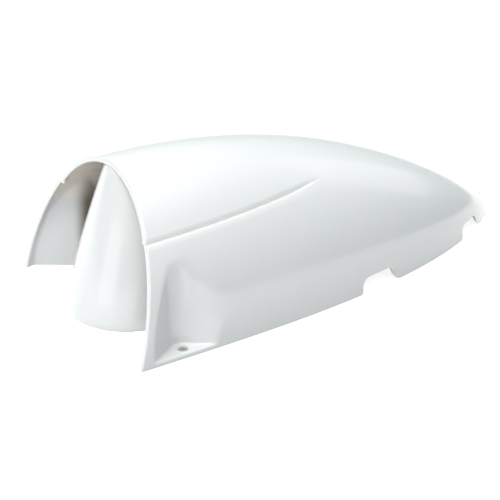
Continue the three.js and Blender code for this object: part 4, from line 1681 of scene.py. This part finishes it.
@dataclass
class SprayCone:
    """The half cone in the mouth that throws spray aside, open behind."""

    hood: Hood
    base_x: float = 50 * MM
    base_radius: float = 55.5 * MM
    top_x: float = 68 * MM
    top_radius: float = 31 * MM
    full_height: float = 130 * MM
    swell: float = 1.35
    wall: float = 2.5 * MM
    back_x: float = 56 * MM
    back_lean: float = 0.125
    shelf: Pair = (104 * MM, 108 * MM)
    shelf_half: float = 14 * MM
    shelf_end: float = 100 * MM
    foot: Pair = (6.1 * MM, 9.1 * MM)
    foot_span: Pair = (47 * MM, 73 * MM)
    foot_sides: Pair = (43 * MM, 53.5 * MM)
    peg: Pair = (66 * MM, 49 * MM)
    peg_hole: float = 3.0 * MM

    def round_at(self, z: Array, depth: float) -> tuple[Array, Array]:
        """The middle's X and the radius at a height, a depth inside the outer face.

        Args:
            z: heights.
            depth: how far inside the outer surface.

        Returns:
            The X and the radius.
        """
        share = np.clip(z / self.full_height, 0, 1)
        middle = self.base_x + (self.top_x - self.base_x) * share
        wider = (self.base_radius - self.top_radius) * (1 - share**self.swell)
        return middle, self.top_radius + wider - depth

    def point_at(
        self, across: Array, z: Array, depth: float
    ) -> tuple[Array, Array]:
        """X and Y at a height, where across runs from -1 at the right edge to 1 at the left.

        Args:
            across: how far round.
            z: heights.
            depth: how far inside the outer surface.

        Returns:
            X and Y.
        """
        middle, radius = self.round_at(z, depth)
        open_from = np.arccos(np.clip((self.back_x + self.back_lean * z - middle) / radius, -1, 1))
        angle = math.pi - across * (math.pi - open_from)
        return middle + radius * np.cos(angle), radius * np.sin(angle)

    def tops(self, across: Array, depth: float) -> Array:
        """The height at which the cone meets the underside of the hood.

        Args:
            across: how far round each point is.
            depth: how far inside the outer surface.

        Returns:
            The heights.
        """
        low, high = np.full(len(across), 0.05), np.full(len(across), self.full_height)
        for _ in range(30):
            middle = (low + high) / 2
            x, y = self.point_at(across, middle, depth)
            inside = self.hood.roof_gap(x, y, middle) < 0
            low, high = np.where(inside, middle, low), np.where(inside, high, middle)
        return low

    def surface(self, depth: float) -> Array:
        """Points of one face, from the right edge round to the left and from foot to top.

        Args:
            depth: how far inside the outer surface.

        Returns:
            An array of columns by rows by X, Y, Z.
        """
        edge, near = 0.016, 0.008
        inner = np.linspace(-1 + edge, 1 - edge, 91)[1:-1]
        across = np.concatenate([[-1, -1 + edge], inner, [1 - edge, 1]])
        inner = np.linspace(near, 1 - near, 44)[1:-1]
        heights = np.concatenate([[0, near], inner, [1 - near, 1]])
        tops = self.tops(across, depth)
        rows = []
        for share in heights:
            z = tops * share
            x, y = self.point_at(across, z, depth)
            rows.append(np.stack([x + self.hood.front, y, z], -1))
        return np.stack(rows, 1)

    def pegs(self) -> list[Vector]:
        """Where the plate's pegs stand in its feet."""
        return [self.hood.at(self.peg[0], sign * self.peg[1]) for sign in SIDES.values()]

    def shelf_slab(self) -> Piece:
        """The shelf that the crown screws pass through, with its front edge in the wall.

        Returns:
            The solid.
        """
        bottom, top = self.shelf
        middle, radius = self.round_at(np.array((bottom + top) / 2), self.wall / 2)
        side = np.linspace(-self.shelf_half, self.shelf_half, 25)
        front = [(middle - math.sqrt(radius**2 - y * y), y) for y in side[::-1]]
        back = box_outline((0, -self.shelf_half), (self.shelf_end, self.shelf_half), 3 * MM)
        corners = [tuple(point) for point in back if point[0] > self.shelf_end / 2]
        right = [point for point in corners if point[1] < 0]
        left = [point for point in corners if point[1] > 0]
        outline = np.array([*front, *right, *left])
        outline[:, 0] += self.hood.front
        return slab("shelf", outline, bottom, top, 0.5 * MM)

    def build(self) -> None:
        """The whole deflector."""
        skin = Skin()
        skin.wall(self.surface(0.0), self.surface(self.wall), (0, -1))
        parts = [self.shelf_slab()]
        for sign in SIDES.values():
            sides = sorted(sign * side for side in self.foot_sides)
            low = (self.foot_span[0] + self.hood.front, sides[0])
            high = (self.foot_span[1] + self.hood.front, sides[1])
            parts.append(slab("tab", box_outline(low, high, 2.5 * MM), *self.foot, 0.5 * MM))
        cone = combined(skin.object("spray_cone"), "UNION", parts)
        cuts = []
        for place in self.hood.posts:
            low, high = self.shelf
            cuts.append(CROWN_SCREW.hole(self.hood.at(place), low - CLEAR, high + CLEAR))
        for place in self.pegs():
            low, high = self.foot
            cuts.append(hole(self.peg_hole, place, low - CLEAR, high + CLEAR))
        combined(cone, "DIFFERENCE", cuts)
        finished(cone, Finishes.GELCOAT, "cowl", ["deflector_cone"])


# ---------------- duct


@dataclass
class Duct:
    """The plate with its upstand pipe and pegs, the gasket under it, the screen and its ring."""

    hood: Hood
    cone: SprayCone
    bore: float = 50 * MM
    pipe: float = 53 * MM
    rim: float = 60 * MM
    rim_heights: Pair = (44 * MM, 50 * MM)
    tapped: float = 41.8 * MM
    plate: Pair = (2.3 * MM, 5.8 * MM)
    plate_edge: float = 0.9 * MM
    gasket: Pair = (0.0, 2 * MM)
    gasket_inset: float = 1.2 * MM
    peg_radius: float = 2.7 * MM
    peg_top: float = 11.8 * MM
    half_outline: Profile = (
        (58 * MM, 52 * MM),
        (68 * MM, 64 * MM),
        (112 * MM, 76 * MM),
        (150 * MM, 78 * MM),
        (190 * MM, 74 * MM),
        (304 * MM, 42.9 * MM),
        (404 * MM, 13 * MM),
    )
    ring_inner: float = 51.5 * MM
    ring: Pair = (54.5 * MM, 57.5 * MM)
    screen_height: float = 53.9 * MM
    screen_radius: float = 59.4 * MM
    screen_pitch: float = 2.4 * MM
    screen_wire: float = 0.22 * MM

    def outline(self, inset: float) -> Array:
        """The plate's outline, a smooth curve through its control points, drawn in by an inset.

        Args:
            inset: how far in.

        Returns:
            An array of points by X and Y.
        """
        points = np.array(self.half_outline)
        points[:, 1] -= inset
        points[0, 0] += inset
        points[-1, 0] -= inset
        padded = np.vstack([points[:1], points, points[-1:]])
        curve = []
        for before, start, end, after in zip(padded[:-3], padded[1:-2], padded[2:-1], padded[3:]):
            leave, arrive = (end - before) / 2, (after - start) / 2
            for t in np.linspace(0, 1, 14, endpoint=False):
                reached = 3 * t**2 - 2 * t**3
                bent = (t**3 - 2 * t**2 + t) * leave + (t**3 - t**2) * arrive
                curve.append((1 - reached) * start + reached * end + bent)
        left = np.array([*curve, points[-1]])
        right = left[::-1] * np.array([1, -1])
        outline = np.vstack([left, right])[::-1]
        return outline + np.array([self.hood.front, 0])

    def base(self) -> None:
        """The plate with its pipe and pegs."""
        axis = node_axis("screen_ring")
        low, high = self.plate
        shoulder, top = self.rim_heights
        profile = rounded([
            (self.bore, low),
            (self.pipe + 4 * MM, low),
            (self.pipe + 4 * MM, high),
            (self.pipe, high + 4 * MM, 3 * MM),
            (self.pipe, shoulder - (self.rim - self.pipe), 2 * MM),
            (self.rim, shoulder, 0.8 * MM),
            (self.rim, top, 0.8 * MM),
            (self.bore, top, 0.8 * MM),
        ], 0.1 * MM)
        parts = [turned_solid("pipe", profile, axis, 128)]
        for place in self.cone.pegs():
            corners = [
                (0, 0),
                (self.peg_radius, low + 1 * MM),
                (self.peg_radius, self.peg_top, 1.2 * MM),
                (0, self.peg_top),
            ]
            parts.append(turned_solid("peg", rounded(corners, 0, False), place, 40))
        base = slab("duct", self.outline(0), low, high, self.plate_edge)
        combined(base, "DIFFERENCE", [hole(self.bore + 1 * MM, axis, 0, 10 * MM)])
        combined(base, "UNION", parts)
        cuts = [DECK_SCREW.sunk_hole(node_axis(node), high, CUT_FROM) for node in BASE_SCREWS]
        cuts += [CLIP_SCREW.hole(node_axis(node), 0, 9 * MM) for node in CLIP_SCREWS]
        cuts += [RING_SCREW.hole(node_axis(node), self.tapped, CUT_TO) for node in RING_SCREWS]
        combined(base, "DIFFERENCE", cuts)
        finished(base, Finishes.MOULDING, "cowl", ["duct_base"])

    def seal(self) -> None:
        """The gasket under the plate."""
        low, high = self.gasket
        seal = slab("gasket", self.outline(self.gasket_inset), low, high, 0.35 * MM)
        cuts = [hole(self.bore, node_axis("screen_ring"), CUT_FROM, 5 * MM)]
        cuts += [DECK_SCREW.hole(node_axis(node), CUT_FROM, 5 * MM) for node in BASE_SCREWS]
        combined(seal, "DIFFERENCE", cuts)
        finished(seal, Finishes.RUBBER, "cowl", ["deck_gasket"])

    def clamp_ring(self) -> None:
        """The ring that holds the screen down."""
        (low, high), inner, outer = self.ring, self.ring_inner, self.rim
        profile = rounded([(inner, low), (outer, low), (outer, high), (inner, high)], 0.8 * MM)
        ring = turned_solid("clamp_ring", profile, node_axis("screen_ring"), 128)
        cuts = [RING_SCREW.hole(node_axis(node), 50 * MM, CUT_TO) for node in RING_SCREWS]
        combined(ring, "DIFFERENCE", cuts)
        finished(ring, Finishes.MOULDING, "cowl", ["screen_ring"])

    def screen(self) -> None:
        """The woven wire screen."""
        tree = ScreenTree(Finishes.SCREEN_WIRE.value.material())
        middle = node_axis("screen_ring") + Vector((0, 0, self.screen_height))
        values = {
            "Radius": self.screen_radius,
            "Pitch": self.screen_pitch,
            "Wire Radius": self.screen_wire,
            "Reach": int(self.screen_radius / self.screen_pitch),
        }
        piece = tree.grow(point_seed("insect_wire", [middle]), values)
        finished(piece, Finishes.SCREEN_WIRE, "cowl", ["insect_screen"], 60)

    def build(self) -> None:
        """Builds every piece of the duct."""
        self.base()
        self.seal()
        self.clamp_ring()
        self.screen()


class ScreenTree(NodeTree):
    """Weaves a round screen of wires about each point."""

    STEPS_PER_PITCH = 3
    WIRE_SIDES = 5

    def __init__(self, material: bpy.types.Material) -> None:
        """Builds the tree.

        Args:
            material: the finish.
        """
        inputs = {"Radius": 60 * MM, "Pitch": 2 * MM, "Wire Radius": 0.2 * MM}
        super().__init__("WovenScreen", {**inputs, "Reach": "NodeSocketInt"})
        sockets = {"Resolution": self.WIRE_SIDES, "Radius": self.input("Wire Radius")}
        profile = self.node("GeometryNodeCurvePrimitiveCircle", {"mode": "RADIUS"}, sockets)
        layers = [self.layer(side, profile) for side in (1.0, -1.0)]
        sockets = {"Points": self.input("Geometry"), "Instance": self.joined(layers)}
        self.finish(self.node("GeometryNodeInstanceOnPoints", {}, sockets), material)

    def layer(self, side: float, profile: Value) -> Value:
        """The wires that run one way: along X where side is 1, along Y where it's -1.

        Args:
            side: 1 or -1.
            profile: the wires' section.

        Returns:
            The wires.
        """
        radius, pitch, wire, reach = (
            self.input(name) for name in ("Radius", "Pitch", "Wire Radius", "Reach")
        )
        across = reach * pitch
        half = across + pitch
        if side > 0:
            ends = [self.vector(-half), self.vector(half)]
            start, offset = self.vector(0, -across), self.vector(0, pitch)
        else:
            ends = [self.vector(0, -half), self.vector(0, half)]
            start, offset = self.vector(-across), self.vector(pitch)
        sockets = {"Start": ends[0], "End": ends[1]}
        line = self.node("GeometryNodeCurvePrimitiveLine", {}, sockets)
        sockets = {"Curve": line, "Count": (reach * 2 + 2) * self.STEPS_PER_PITCH + 1}
        line = self.node("GeometryNodeResampleCurve", {}, sockets)
        sockets = {"Count": reach * 2 + 1, "Start Location": start, "Offset": offset}
        row = self.node("GeometryNodeMeshLine", {"mode": "OFFSET"}, sockets)
        sockets = {"Points": row, "Instance": line}
        wires = self.realized(self.node("GeometryNodeInstanceOnPoints", {}, sockets))
        where = self.node("GeometryNodeInputPosition")
        x, y = (self.node("ShaderNodeSeparateXYZ", {}, {0: where}, axis) for axis in (0, 1))
        wave = (x * math.pi / pitch).cosine() * (y * math.pi / pitch).cosine() * wire * side
        sockets = {"Geometry": wires, "Offset": self.vector(0, 0, wave)}
        wires = self.node("GeometryNodeSetPosition", {}, sockets)
        sockets = {"Geometry": wires, "Selection": (x * x + y * y).over(radius * radius)}
        wires = self.node("GeometryNodeDeleteGeometry", {"domain": "POINT"}, sockets)
        sockets = {"Curve": wires, "Profile Curve": profile, "Fill Caps": True}
        return self.node("GeometryNodeCurveToMesh", {}, sockets)


@dataclass
class TailClip:
    """The hook on the plate that holds the hood's tongue down."""

    hood: Hood
    half: float = 11 * MM
    top: float = 8.6 * MM
    corners: Profile = (
        (372 * MM, 6.1 * MM),
        (402 * MM, 6.1 * MM),
        (402 * MM, 13 * MM, 0.8 * MM),
        (412 * MM, 13 * MM, 0.6 * MM),
        (412 * MM, 16 * MM, 2.6 * MM),
        (398 * MM, 16 * MM, 2.4 * MM),
        (398 * MM, 8.6 * MM, 1.5 * MM),
        (372 * MM, 8.6 * MM, 1 * MM),
    )

    def build(self) -> None:
        """The whole clip."""
        outline = np.array(rounded(self.corners, 0.4 * MM)[:-1]) + np.array([self.hood.front, 0])
        clip = slab("tail_hook", outline, -self.half, self.half, 0.5 * MM, True)
        cuts = [CLIP_SCREW.sunk_hole(node_axis(node), self.top, CUT_FROM) for node in CLIP_SCREWS]
        combined(clip, "DIFFERENCE", cuts)
        finished(clip, Finishes.GREY_PLASTIC, "cowl", ["tail_clip"])


# ---------------- shutter


class RingTree(NodeTree):
    """Cuts one opening out of a piece again and again round the vertical axis at the origin."""

    def __init__(self, material: bpy.types.Material) -> None:
        """Builds the tree.

        Args:
            material: the finish.
        """
        inputs = {"Count": "NodeSocketInt", "Cutter": "NodeSocketObject", "Start": 0.0}
        super().__init__("Openings", inputs)
        count = self.input("Count")
        sockets = {"Object": self.input("Cutter")}
        cutter = self.node("GeometryNodeObjectInfo", {}, sockets, "Geometry")
        sockets = {"Count": count, "Offset": (0, 0, 0)}
        row = self.node("GeometryNodeMeshLine", {"mode": "OFFSET"}, sockets)
        turn = self.node("GeometryNodeInputIndex") * (2 * math.pi) / count + self.input("Start")
        sockets = {"Points": row, "Instance": cutter, "Rotation": self.vector(0, 0, turn)}
        cuts = self.realized(self.node("GeometryNodeInstanceOnPoints", {}, sockets))
        settings = {"operation": "DIFFERENCE", "solver": "MANIFOLD"}
        sockets = {"Mesh 1": self.input("Geometry"), "Mesh 2": cuts}
        self.finish(self.node("GeometryNodeMeshBoolean", settings, sockets), material)

    def cut(self, piece: Piece, cutter: Piece, count: int, start: float = 0.0) -> None:
        """Cuts a piece.

        Args:
            piece: the piece, about the origin.
            cutter: the opening, about the origin, which is then removed.
            count: how many openings.
            start: the first one's angle in degrees.
        """
        self.grow(piece, {"Count": count, "Cutter": cutter, "Start": math.radians(start)})
        bpy.data.objects.remove(cutter)


@dataclass
class Shutter:
    """The slotted grille, the disc that turns under it with its knob, and their pivot."""

    slot_count: int = 6
    slot: Pair = (14 * MM, 42 * MM)
    slot_half: float = 15.0
    slot_corner: float = 2 * MM
    grille_radius: float = 60 * MM
    grille: Pair = (50.3 * MM, 53.3 * MM)
    head_seat: float = 51.8 * MM
    lug: Pair = (45.5 * MM, 48.5 * MM)
    lug_angles: Pair = (27.0, 33.0)
    lug_bottom: float = 47.3 * MM
    ring_screw_circle: float = 56.5 * MM
    disc_radius: float = 49.4 * MM
    disc: Pair = (46.7 * MM, 49.7 * MM)
    notch_radius: float = 44.8 * MM
    notch_angles: Pair = (-3.4, 33.4)
    hub_radius: float = 9 * MM
    hub_bottom: float = 43 * MM
    pin_radius: float = 2.5 * MM
    pin_head: float = 5 * MM
    pin: Pair = (39.6 * MM, 53 * MM)
    running_gap: float = 0.12 * MM
    washer: Pair = (2.9 * MM, 7 * MM)
    washer_height: float = 42.4 * MM
    clip: Pair = (41 * MM, 41.8 * MM)
    clip_outer: float = 5.5 * MM
    cup: Pair = (10.5 * MM, 15 * MM)
    cup_heights: Pair = (35.4 * MM, 46.4 * MM)
    cup_floor: float = 3 * MM
    grip: Pair = (46 * MM, 7 * MM)
    grip_bottom: float = 15.4 * MM
    groove_pitch: float = 4.2 * MM
    groove_radius: float = 1 * MM

    def __post_init__(self) -> None:
        """Finds the axis that everything turns about."""
        self.axis = node_axis("screen_ring")

    def slot_outline(self) -> Array:
        """A slot: part of a ring with rounded corners, about the origin.

        Returns:
            An array of points by X and Y.
        """
        inner, outer, corner, side = *self.slot, self.slot_corner, self.slot_half
        wide, narrow = outer - corner, inner + corner
        far = side - math.degrees(math.asin(corner / wide))
        near = side - math.degrees(math.asin(corner / narrow))
        spots = [(wide, far), (narrow, near), (narrow, -near), (wide, -far)]
        middles = [polar(radius, degrees) for radius, degrees in spots]
        return np.array([
            *arc(outer, -far, far, 14),
            *arc(corner, far, side + 90, 6, middles[0])[1:],
            *arc(corner, side + 90, near + 180, 6, middles[1]),
            *arc(inner, near, -near, 8)[1:-1],
            *arc(corner, 180 - near, 270 - side, 6, middles[2]),
            *arc(corner, -90 - side, -far, 6, middles[3])[:-1],
        ])

    def sector(
        self, name: str, radii: Sequence[float], angles: Sequence[float], low: float, high: float
    ) -> Piece:
        """A solid part of a ring about the origin, between two radii and two angles in degrees."""
        outline = [*arc(radii[1], *angles, 14), *arc(radii[0], angles[1], angles[0], 14)]
        return slab(name, np.array(outline), low, high, 0.3 * MM)

    def placed(self, piece: Piece) -> Piece:
        """A piece made about the origin, moved to the duct's axis in its mesh."""
        piece.data.transform(Matrix.Translation(self.axis))
        return piece

    def slotted(self, blank: Piece, heights: Sequence[float], openings: RingTree) -> None:
        """Cuts the slots out of a blank."""
        cutter = opening("slot", self.slot_outline(), *heights, 0.5 * MM)
        openings.cut(blank, cutter, self.slot_count)

    def make_grille(self, openings: RingTree) -> None:
        """The fixed grille with its stop lug.

        Args:
            openings: the tree that cuts repeated openings.
        """
        (low, high), radius = self.grille, self.grille_radius
        profile = rounded([(0, low), (radius, low), (radius, high), (0, high)], 0.8 * MM, False)
        grille = turned_solid("grille", profile, Vector(), 128)
        lug = self.sector("lug", self.lug, self.lug_angles, self.lug_bottom, low + 1 * MM)
        combined(grille, "UNION", [lug])
        self.slotted(grille, self.grille, openings)
        cutter = RING_SCREW.hole(Vector((self.ring_screw_circle, 0, 0)), 40 * MM, CUT_TO)
        openings.cut(grille, cutter, len(RING_SCREWS), 180 / len(RING_SCREWS))
        pin, head = self.pin_radius + SEAT_GAP, self.pin_head + SEAT_GAP
        steps = [(0, 40 * MM), (pin, 40 * MM), (pin, self.head_seat), (head, self.head_seat)]
        seat = turned_solid("seat", [*steps, (head, CUT_TO), (0, CUT_TO)], Vector(), 64)
        combined(grille, "DIFFERENCE", [seat])
        finished(self.placed(grille), Finishes.MOULDING, "cowl", ["shutter_grille"])

    def make_disc(self, openings: RingTree) -> None:
        """The turning disc with its hub and rim notch.

        Args:
            openings: the tree that cuts repeated openings.
        """
        low, high = self.disc
        profile = rounded([
            (0, self.hub_bottom),
            (self.hub_radius, self.hub_bottom, 0.6 * MM),
            (self.hub_radius, low, 1.2 * MM),
            (self.disc_radius, low, 0.6 * MM),
            (self.disc_radius, high, 0.6 * MM),
            (0, high),
        ], 0.5 * MM, False)
        disc = turned_solid("shutter_plate", profile, Vector(), 128)
        self.slotted(disc, self.disc, openings)
        reach = (self.notch_radius, self.disc_radius + 5 * MM)
        notch = self.sector("notch", reach, self.notch_angles, low - 2 * MM, high + 2 * MM)
        pivot = hole(self.pin_radius + self.running_gap, Vector(), 35 * MM, CUT_TO)
        combined(disc, "DIFFERENCE", [notch, pivot])
        self.placed(disc)
        cuts = [KNOB_SCREW.sunk_hole(node_axis(node), high, 30 * MM) for node in KNOB_SCREWS]
        combined(disc, "DIFFERENCE", cuts)
        finished(disc, Finishes.GREY_PLASTIC, "shutter", ["shutter_disc"])

    def make_knob(self) -> None:
        """The cup round the pivot and the grip under it, with finger grooves."""
        inner, outer = self.cup
        low, high = self.cup_heights
        floor = low + self.cup_floor
        profile = rounded([
            (0, low),
            (outer, low, 1.6 * MM),
            (outer, high, 0.5 * MM),
            (inner, high, 0.5 * MM),
            (inner, floor, 1 * MM),
            (0, floor),
        ], 0.5 * MM, False)
        knob = turned_solid("knob", profile, Vector(), 96)
        length, width = self.grip[0] / 2, self.grip[1] / 2
        outline = box_outline((-length, -width), (length, width), width - 0.01 * MM)
        grip = slab("grip", outline, self.grip_bottom, low + 1 * MM, 1.4 * MM)
        grooves = []
        for k in range(-4, 5):
            for sign in (1, -1):
                place = Vector((k * self.groove_pitch, sign * (width + 0.5 * MM), 0))
                bottom, top = self.grip_bottom + 3 * MM, low - 3.5 * MM
                grooves.append(hole(self.groove_radius, place, bottom, top))
        combined(grip, "DIFFERENCE", grooves)
        combined(knob, "UNION", [grip])
        self.placed(knob)
        bottom = floor + 1.5 * MM
        cuts = [KNOB_SCREW.hole(node_axis(node), bottom, CUT_TO) for node in KNOB_SCREWS]
        combined(knob, "DIFFERENCE", cuts)
        finished(knob, Finishes.GREY_PLASTIC, "shutter", ["shutter_knob"])

    def make_pin(self) -> None:
        """The pivot pin, with a low domed head and a groove for its clip."""
        low, high = self.pin
        head_bottom = high - 0.9 * MM
        groove = (self.clip[0] - 0.05 * MM, self.clip[1] + 0.05 * MM)
        neck = self.pin_radius - 0.5 * MM
        profile = rounded([
            (0, low),
            (self.pin_radius, low, 0.4 * MM),
            (self.pin_radius, groove[0]),
            (neck, groove[0]),
            (neck, groove[1]),
            (self.pin_radius, groove[1]),
            (self.pin_radius, head_bottom, 0.2 * MM),
            (self.pin_head, head_bottom),
            (self.pin_head, high, 0.5 * MM),
            (0, high),
        ], 0.05 * MM, False)
        pin = turned_solid("pivot", profile, self.axis, 64)
        finished(pin, Finishes.STAINLESS, "cowl", ["pivot_pin"])

    def make_washer(self) -> None:
        """The wave washer, with three waves."""
        inner, outer = self.washer
        half, wave, waves = 0.13 * MM, 0.16 * MM, 3
        corners = [(inner, -half), (outer, -half), (outer, half), (inner, half)]
        angles = np.linspace(0, 2 * math.pi, 96, endpoint=False)
        rows = []
        for radius, lift in rounded(corners, 0.1 * MM)[:-1]:
            height = self.washer_height + lift + wave * np.sin(waves * angles)
            rows.append(np.stack([radius * np.cos(angles), radius * np.sin(angles), height], -1))
        skin = Skin()
        grid = skin.add(np.array(rows))
        grid = np.vstack([grid, grid[:1]])
        skin.cover(np.hstack([grid, grid[:, :1]]))
        washer = self.placed(skin.object("spring_washer"))
        finished(washer, Finishes.STAINLESS, "cowl", ["wave_washer"])

    def make_clip(self) -> None:
        """The spring clip in the pin's groove: open on one side, with three teeth."""
        gap = 32.0
        neck = self.pin_radius - 0.45 * MM
        inner = []
        for degrees in np.linspace(360 - gap, gap, 73):
            lobe = math.cos(math.pi * (degrees - 180) / (180 - gap)) ** 2
            inner.append(polar(neck + (1 - lobe) * 1.2 * MM, degrees))
        outline = np.array([*arc(self.clip_outer, gap, 360 - gap, 60), *inner])
        clip = self.placed(slab("spring_clip", outline, *self.clip, 0.12 * MM))
        finished(clip, Finishes.STAINLESS, "cowl", ["pivot_clip"])

    def build(self) -> None:
        """Builds every piece of the shutter."""
        openings = RingTree(Finishes.MOULDING.value.material())
        self.make_grille(openings)
        self.make_disc(openings)
        self.make_knob()
        self.make_pin()
        self.make_washer()
        self.make_clip()


# ---------------- studio


def facing(direction: Vector, place: Vector) -> Matrix:
    """The placement of a camera or lamp that looks in a direction."""
    look = direction.to_track_quat("-Z", "Y")
    return Matrix.Translation(place) @ look.to_matrix().to_4x4()


@dataclass(frozen=True)
class Lamp:
    """One soft square lamp, in watts and metres."""

    name: str
    place: tuple[float, float, float]
    power: float
    size: float = 1.2
    aim: tuple[float, float, float] = (0, 0, 0.06)

    def hang(self) -> None:
        """Hangs the lamp."""
        data = bpy.data.lights.new(self.name, "AREA")
        data.shape = "SQUARE"
        data.size = self.size
        data.energy = self.power
        lamp = bpy.data.objects.new(self.name, data)
        bpy.context.scene.collection.objects.link(lamp)
        lamp.matrix_world = facing(Vector(self.aim) - Vector(self.place), Vector(self.place))


@dataclass
class Studio:
    """The floor, the light and the camera."""

    aim: tuple[float, float, float] = (-0.03275, 0.0273, 0.0)
    azimuth: float = -32.814
    elevation: float = 26.176
    distance: float = 1.274
    lens: float = 99.37
    floor_size: float = 12.0
    bounce: float = 0.38
    paper: float = 0.85
    room: float = 0.4
    room_tint: tuple[float, float, float] = (0.9, 1.0, 0.99)
    lamps: tuple[Lamp, ...] = (
        Lamp("key", (-1.0, -0.3, 2.0), 31),
        Lamp("fill", (-0.9, -1.6, 1.4), 6.5),
        Lamp("rear", (2.0, 0.3, 1.2), 3),
        Lamp("card", (-0.6, -0.1, 0.03), 0.3, 0.25, (-0.17, 0.09, 0.08)),
        Lamp("far_side", (0.3, 1.5, 2.0), 17),
        Lamp("over", (0, 0, 2.4), 8, 2.4),
    )

    def camera(self) -> None:
        """Sets up the camera."""
        data = bpy.data.cameras.new("camera")
        data.lens = self.lens
        data.sensor_width = 36.0
        camera = bpy.data.objects.new("camera", data)
        bpy.context.scene.collection.objects.link(camera)
        turn, rise = math.radians(self.azimuth), math.radians(self.elevation)
        level = math.cos(rise)
        back = Vector((math.sin(turn) * level, -math.cos(turn) * level, math.sin(rise)))
        camera.matrix_world = facing(-back, Vector(self.aim) + back * self.distance)
        bpy.context.scene.camera = camera

    def floor(self) -> None:
        """Lays a white floor that keeps the ventilator's shadow."""
        skin = Skin()
        half = self.floor_size / 2
        corners = [(-half, -half, 0), (half, -half, 0), (half, half, 0), (-half, half, 0)]
        skin.face(skin.add(np.array(corners)))
        floor = skin.object("studio_floor")
        shader = Shader("FloorPaper", {"Roughness": 0.9, "Specular IOR Level": 0.0})
        fibre = shader.noise(300, 2)
        paper = shader.blend(fibre, grey(0.86), grey(0.88))
        seen = shader.node("ShaderNodeLightPath", output="Is Camera Ray")
        seen = seen + shader.node("ShaderNodeLightPath", output="Is Glossy Ray")
        shader.feed("Base Color", shader.blend(seen, grey(self.bounce), paper))
        shader.surface.inputs["Emission Strength"].default_value = self.paper
        shader.feed("Emission Color", shader.blend(seen, grey(0.0), grey(1.0)))
        floor.data.materials.append(shader.material)

    def light(self) -> None:
        """Hangs the lamps and lights the room."""
        for lamp in self.lamps:
            lamp.hang()
        world = bpy.data.worlds.new("room")
        shader = ShaderTree(world, "Background")
        seen = shader.node("ShaderNodeLightPath", output="Is Camera Ray")
        dim = (*(self.room * tint for tint in self.room_tint), 1.0)
        shader.feed("Color", shader.blend(seen, dim, grey(1.0)))
        bpy.context.scene.world = world
        bpy.context.scene.view_settings.view_transform = "Standard"

    def build(self) -> None:
        """Builds the whole studio."""
        self.camera()
        self.floor()
        self.light()


# ---------------- assembly


def dress_nodes() -> None:
    """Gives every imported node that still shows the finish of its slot."""
    by_slot = {finish.value.slot: finish.value for finish in Finishes}
    slots = {part["node"]: part["material_slot"] for part in frame["record"]["subparts"]}
    for name, node in frame["nodes"].items():
        material = by_slot[slots[name]].material()
        if not node.material_slots:
            node.data.materials.append(material)
        for slot in node.material_slots:
            slot.material = material
        LOG.info("%s: dressed as %s", name, material.name)


def main() -> None:
    """Builds the studio and every piece."""
    logging.basicConfig(level=logging.INFO, format="%(name)s %(message)s")
    Studio().build()
    dress_nodes()
    hood = Hood.from_frame()
    hood.build()
    cone = SprayCone(hood)
    cone.build()
    Duct(hood, cone).build()
    TailClip(hood).build()
    Shutter().build()
    screws = Screws()
    screws.add("foot_screws", DECK_SCREW, "cowl", FOOT_SCREWS)
    screws.add("crown_screws", CROWN_SCREW, "cowl", CROWN_SCREWS, True)
    screws.add("base_screws", DECK_SCREW, "cowl", BASE_SCREWS)
    screws.add("tail_clip_screws", CLIP_SCREW, "cowl", CLIP_SCREWS)
    screws.add("ring_screws", RING_SCREW, "cowl", RING_SCREWS)
    screws.add("knob_screws", KNOB_SCREW, "shutter", KNOB_SCREWS)


if __name__ == "__main__":
    main()
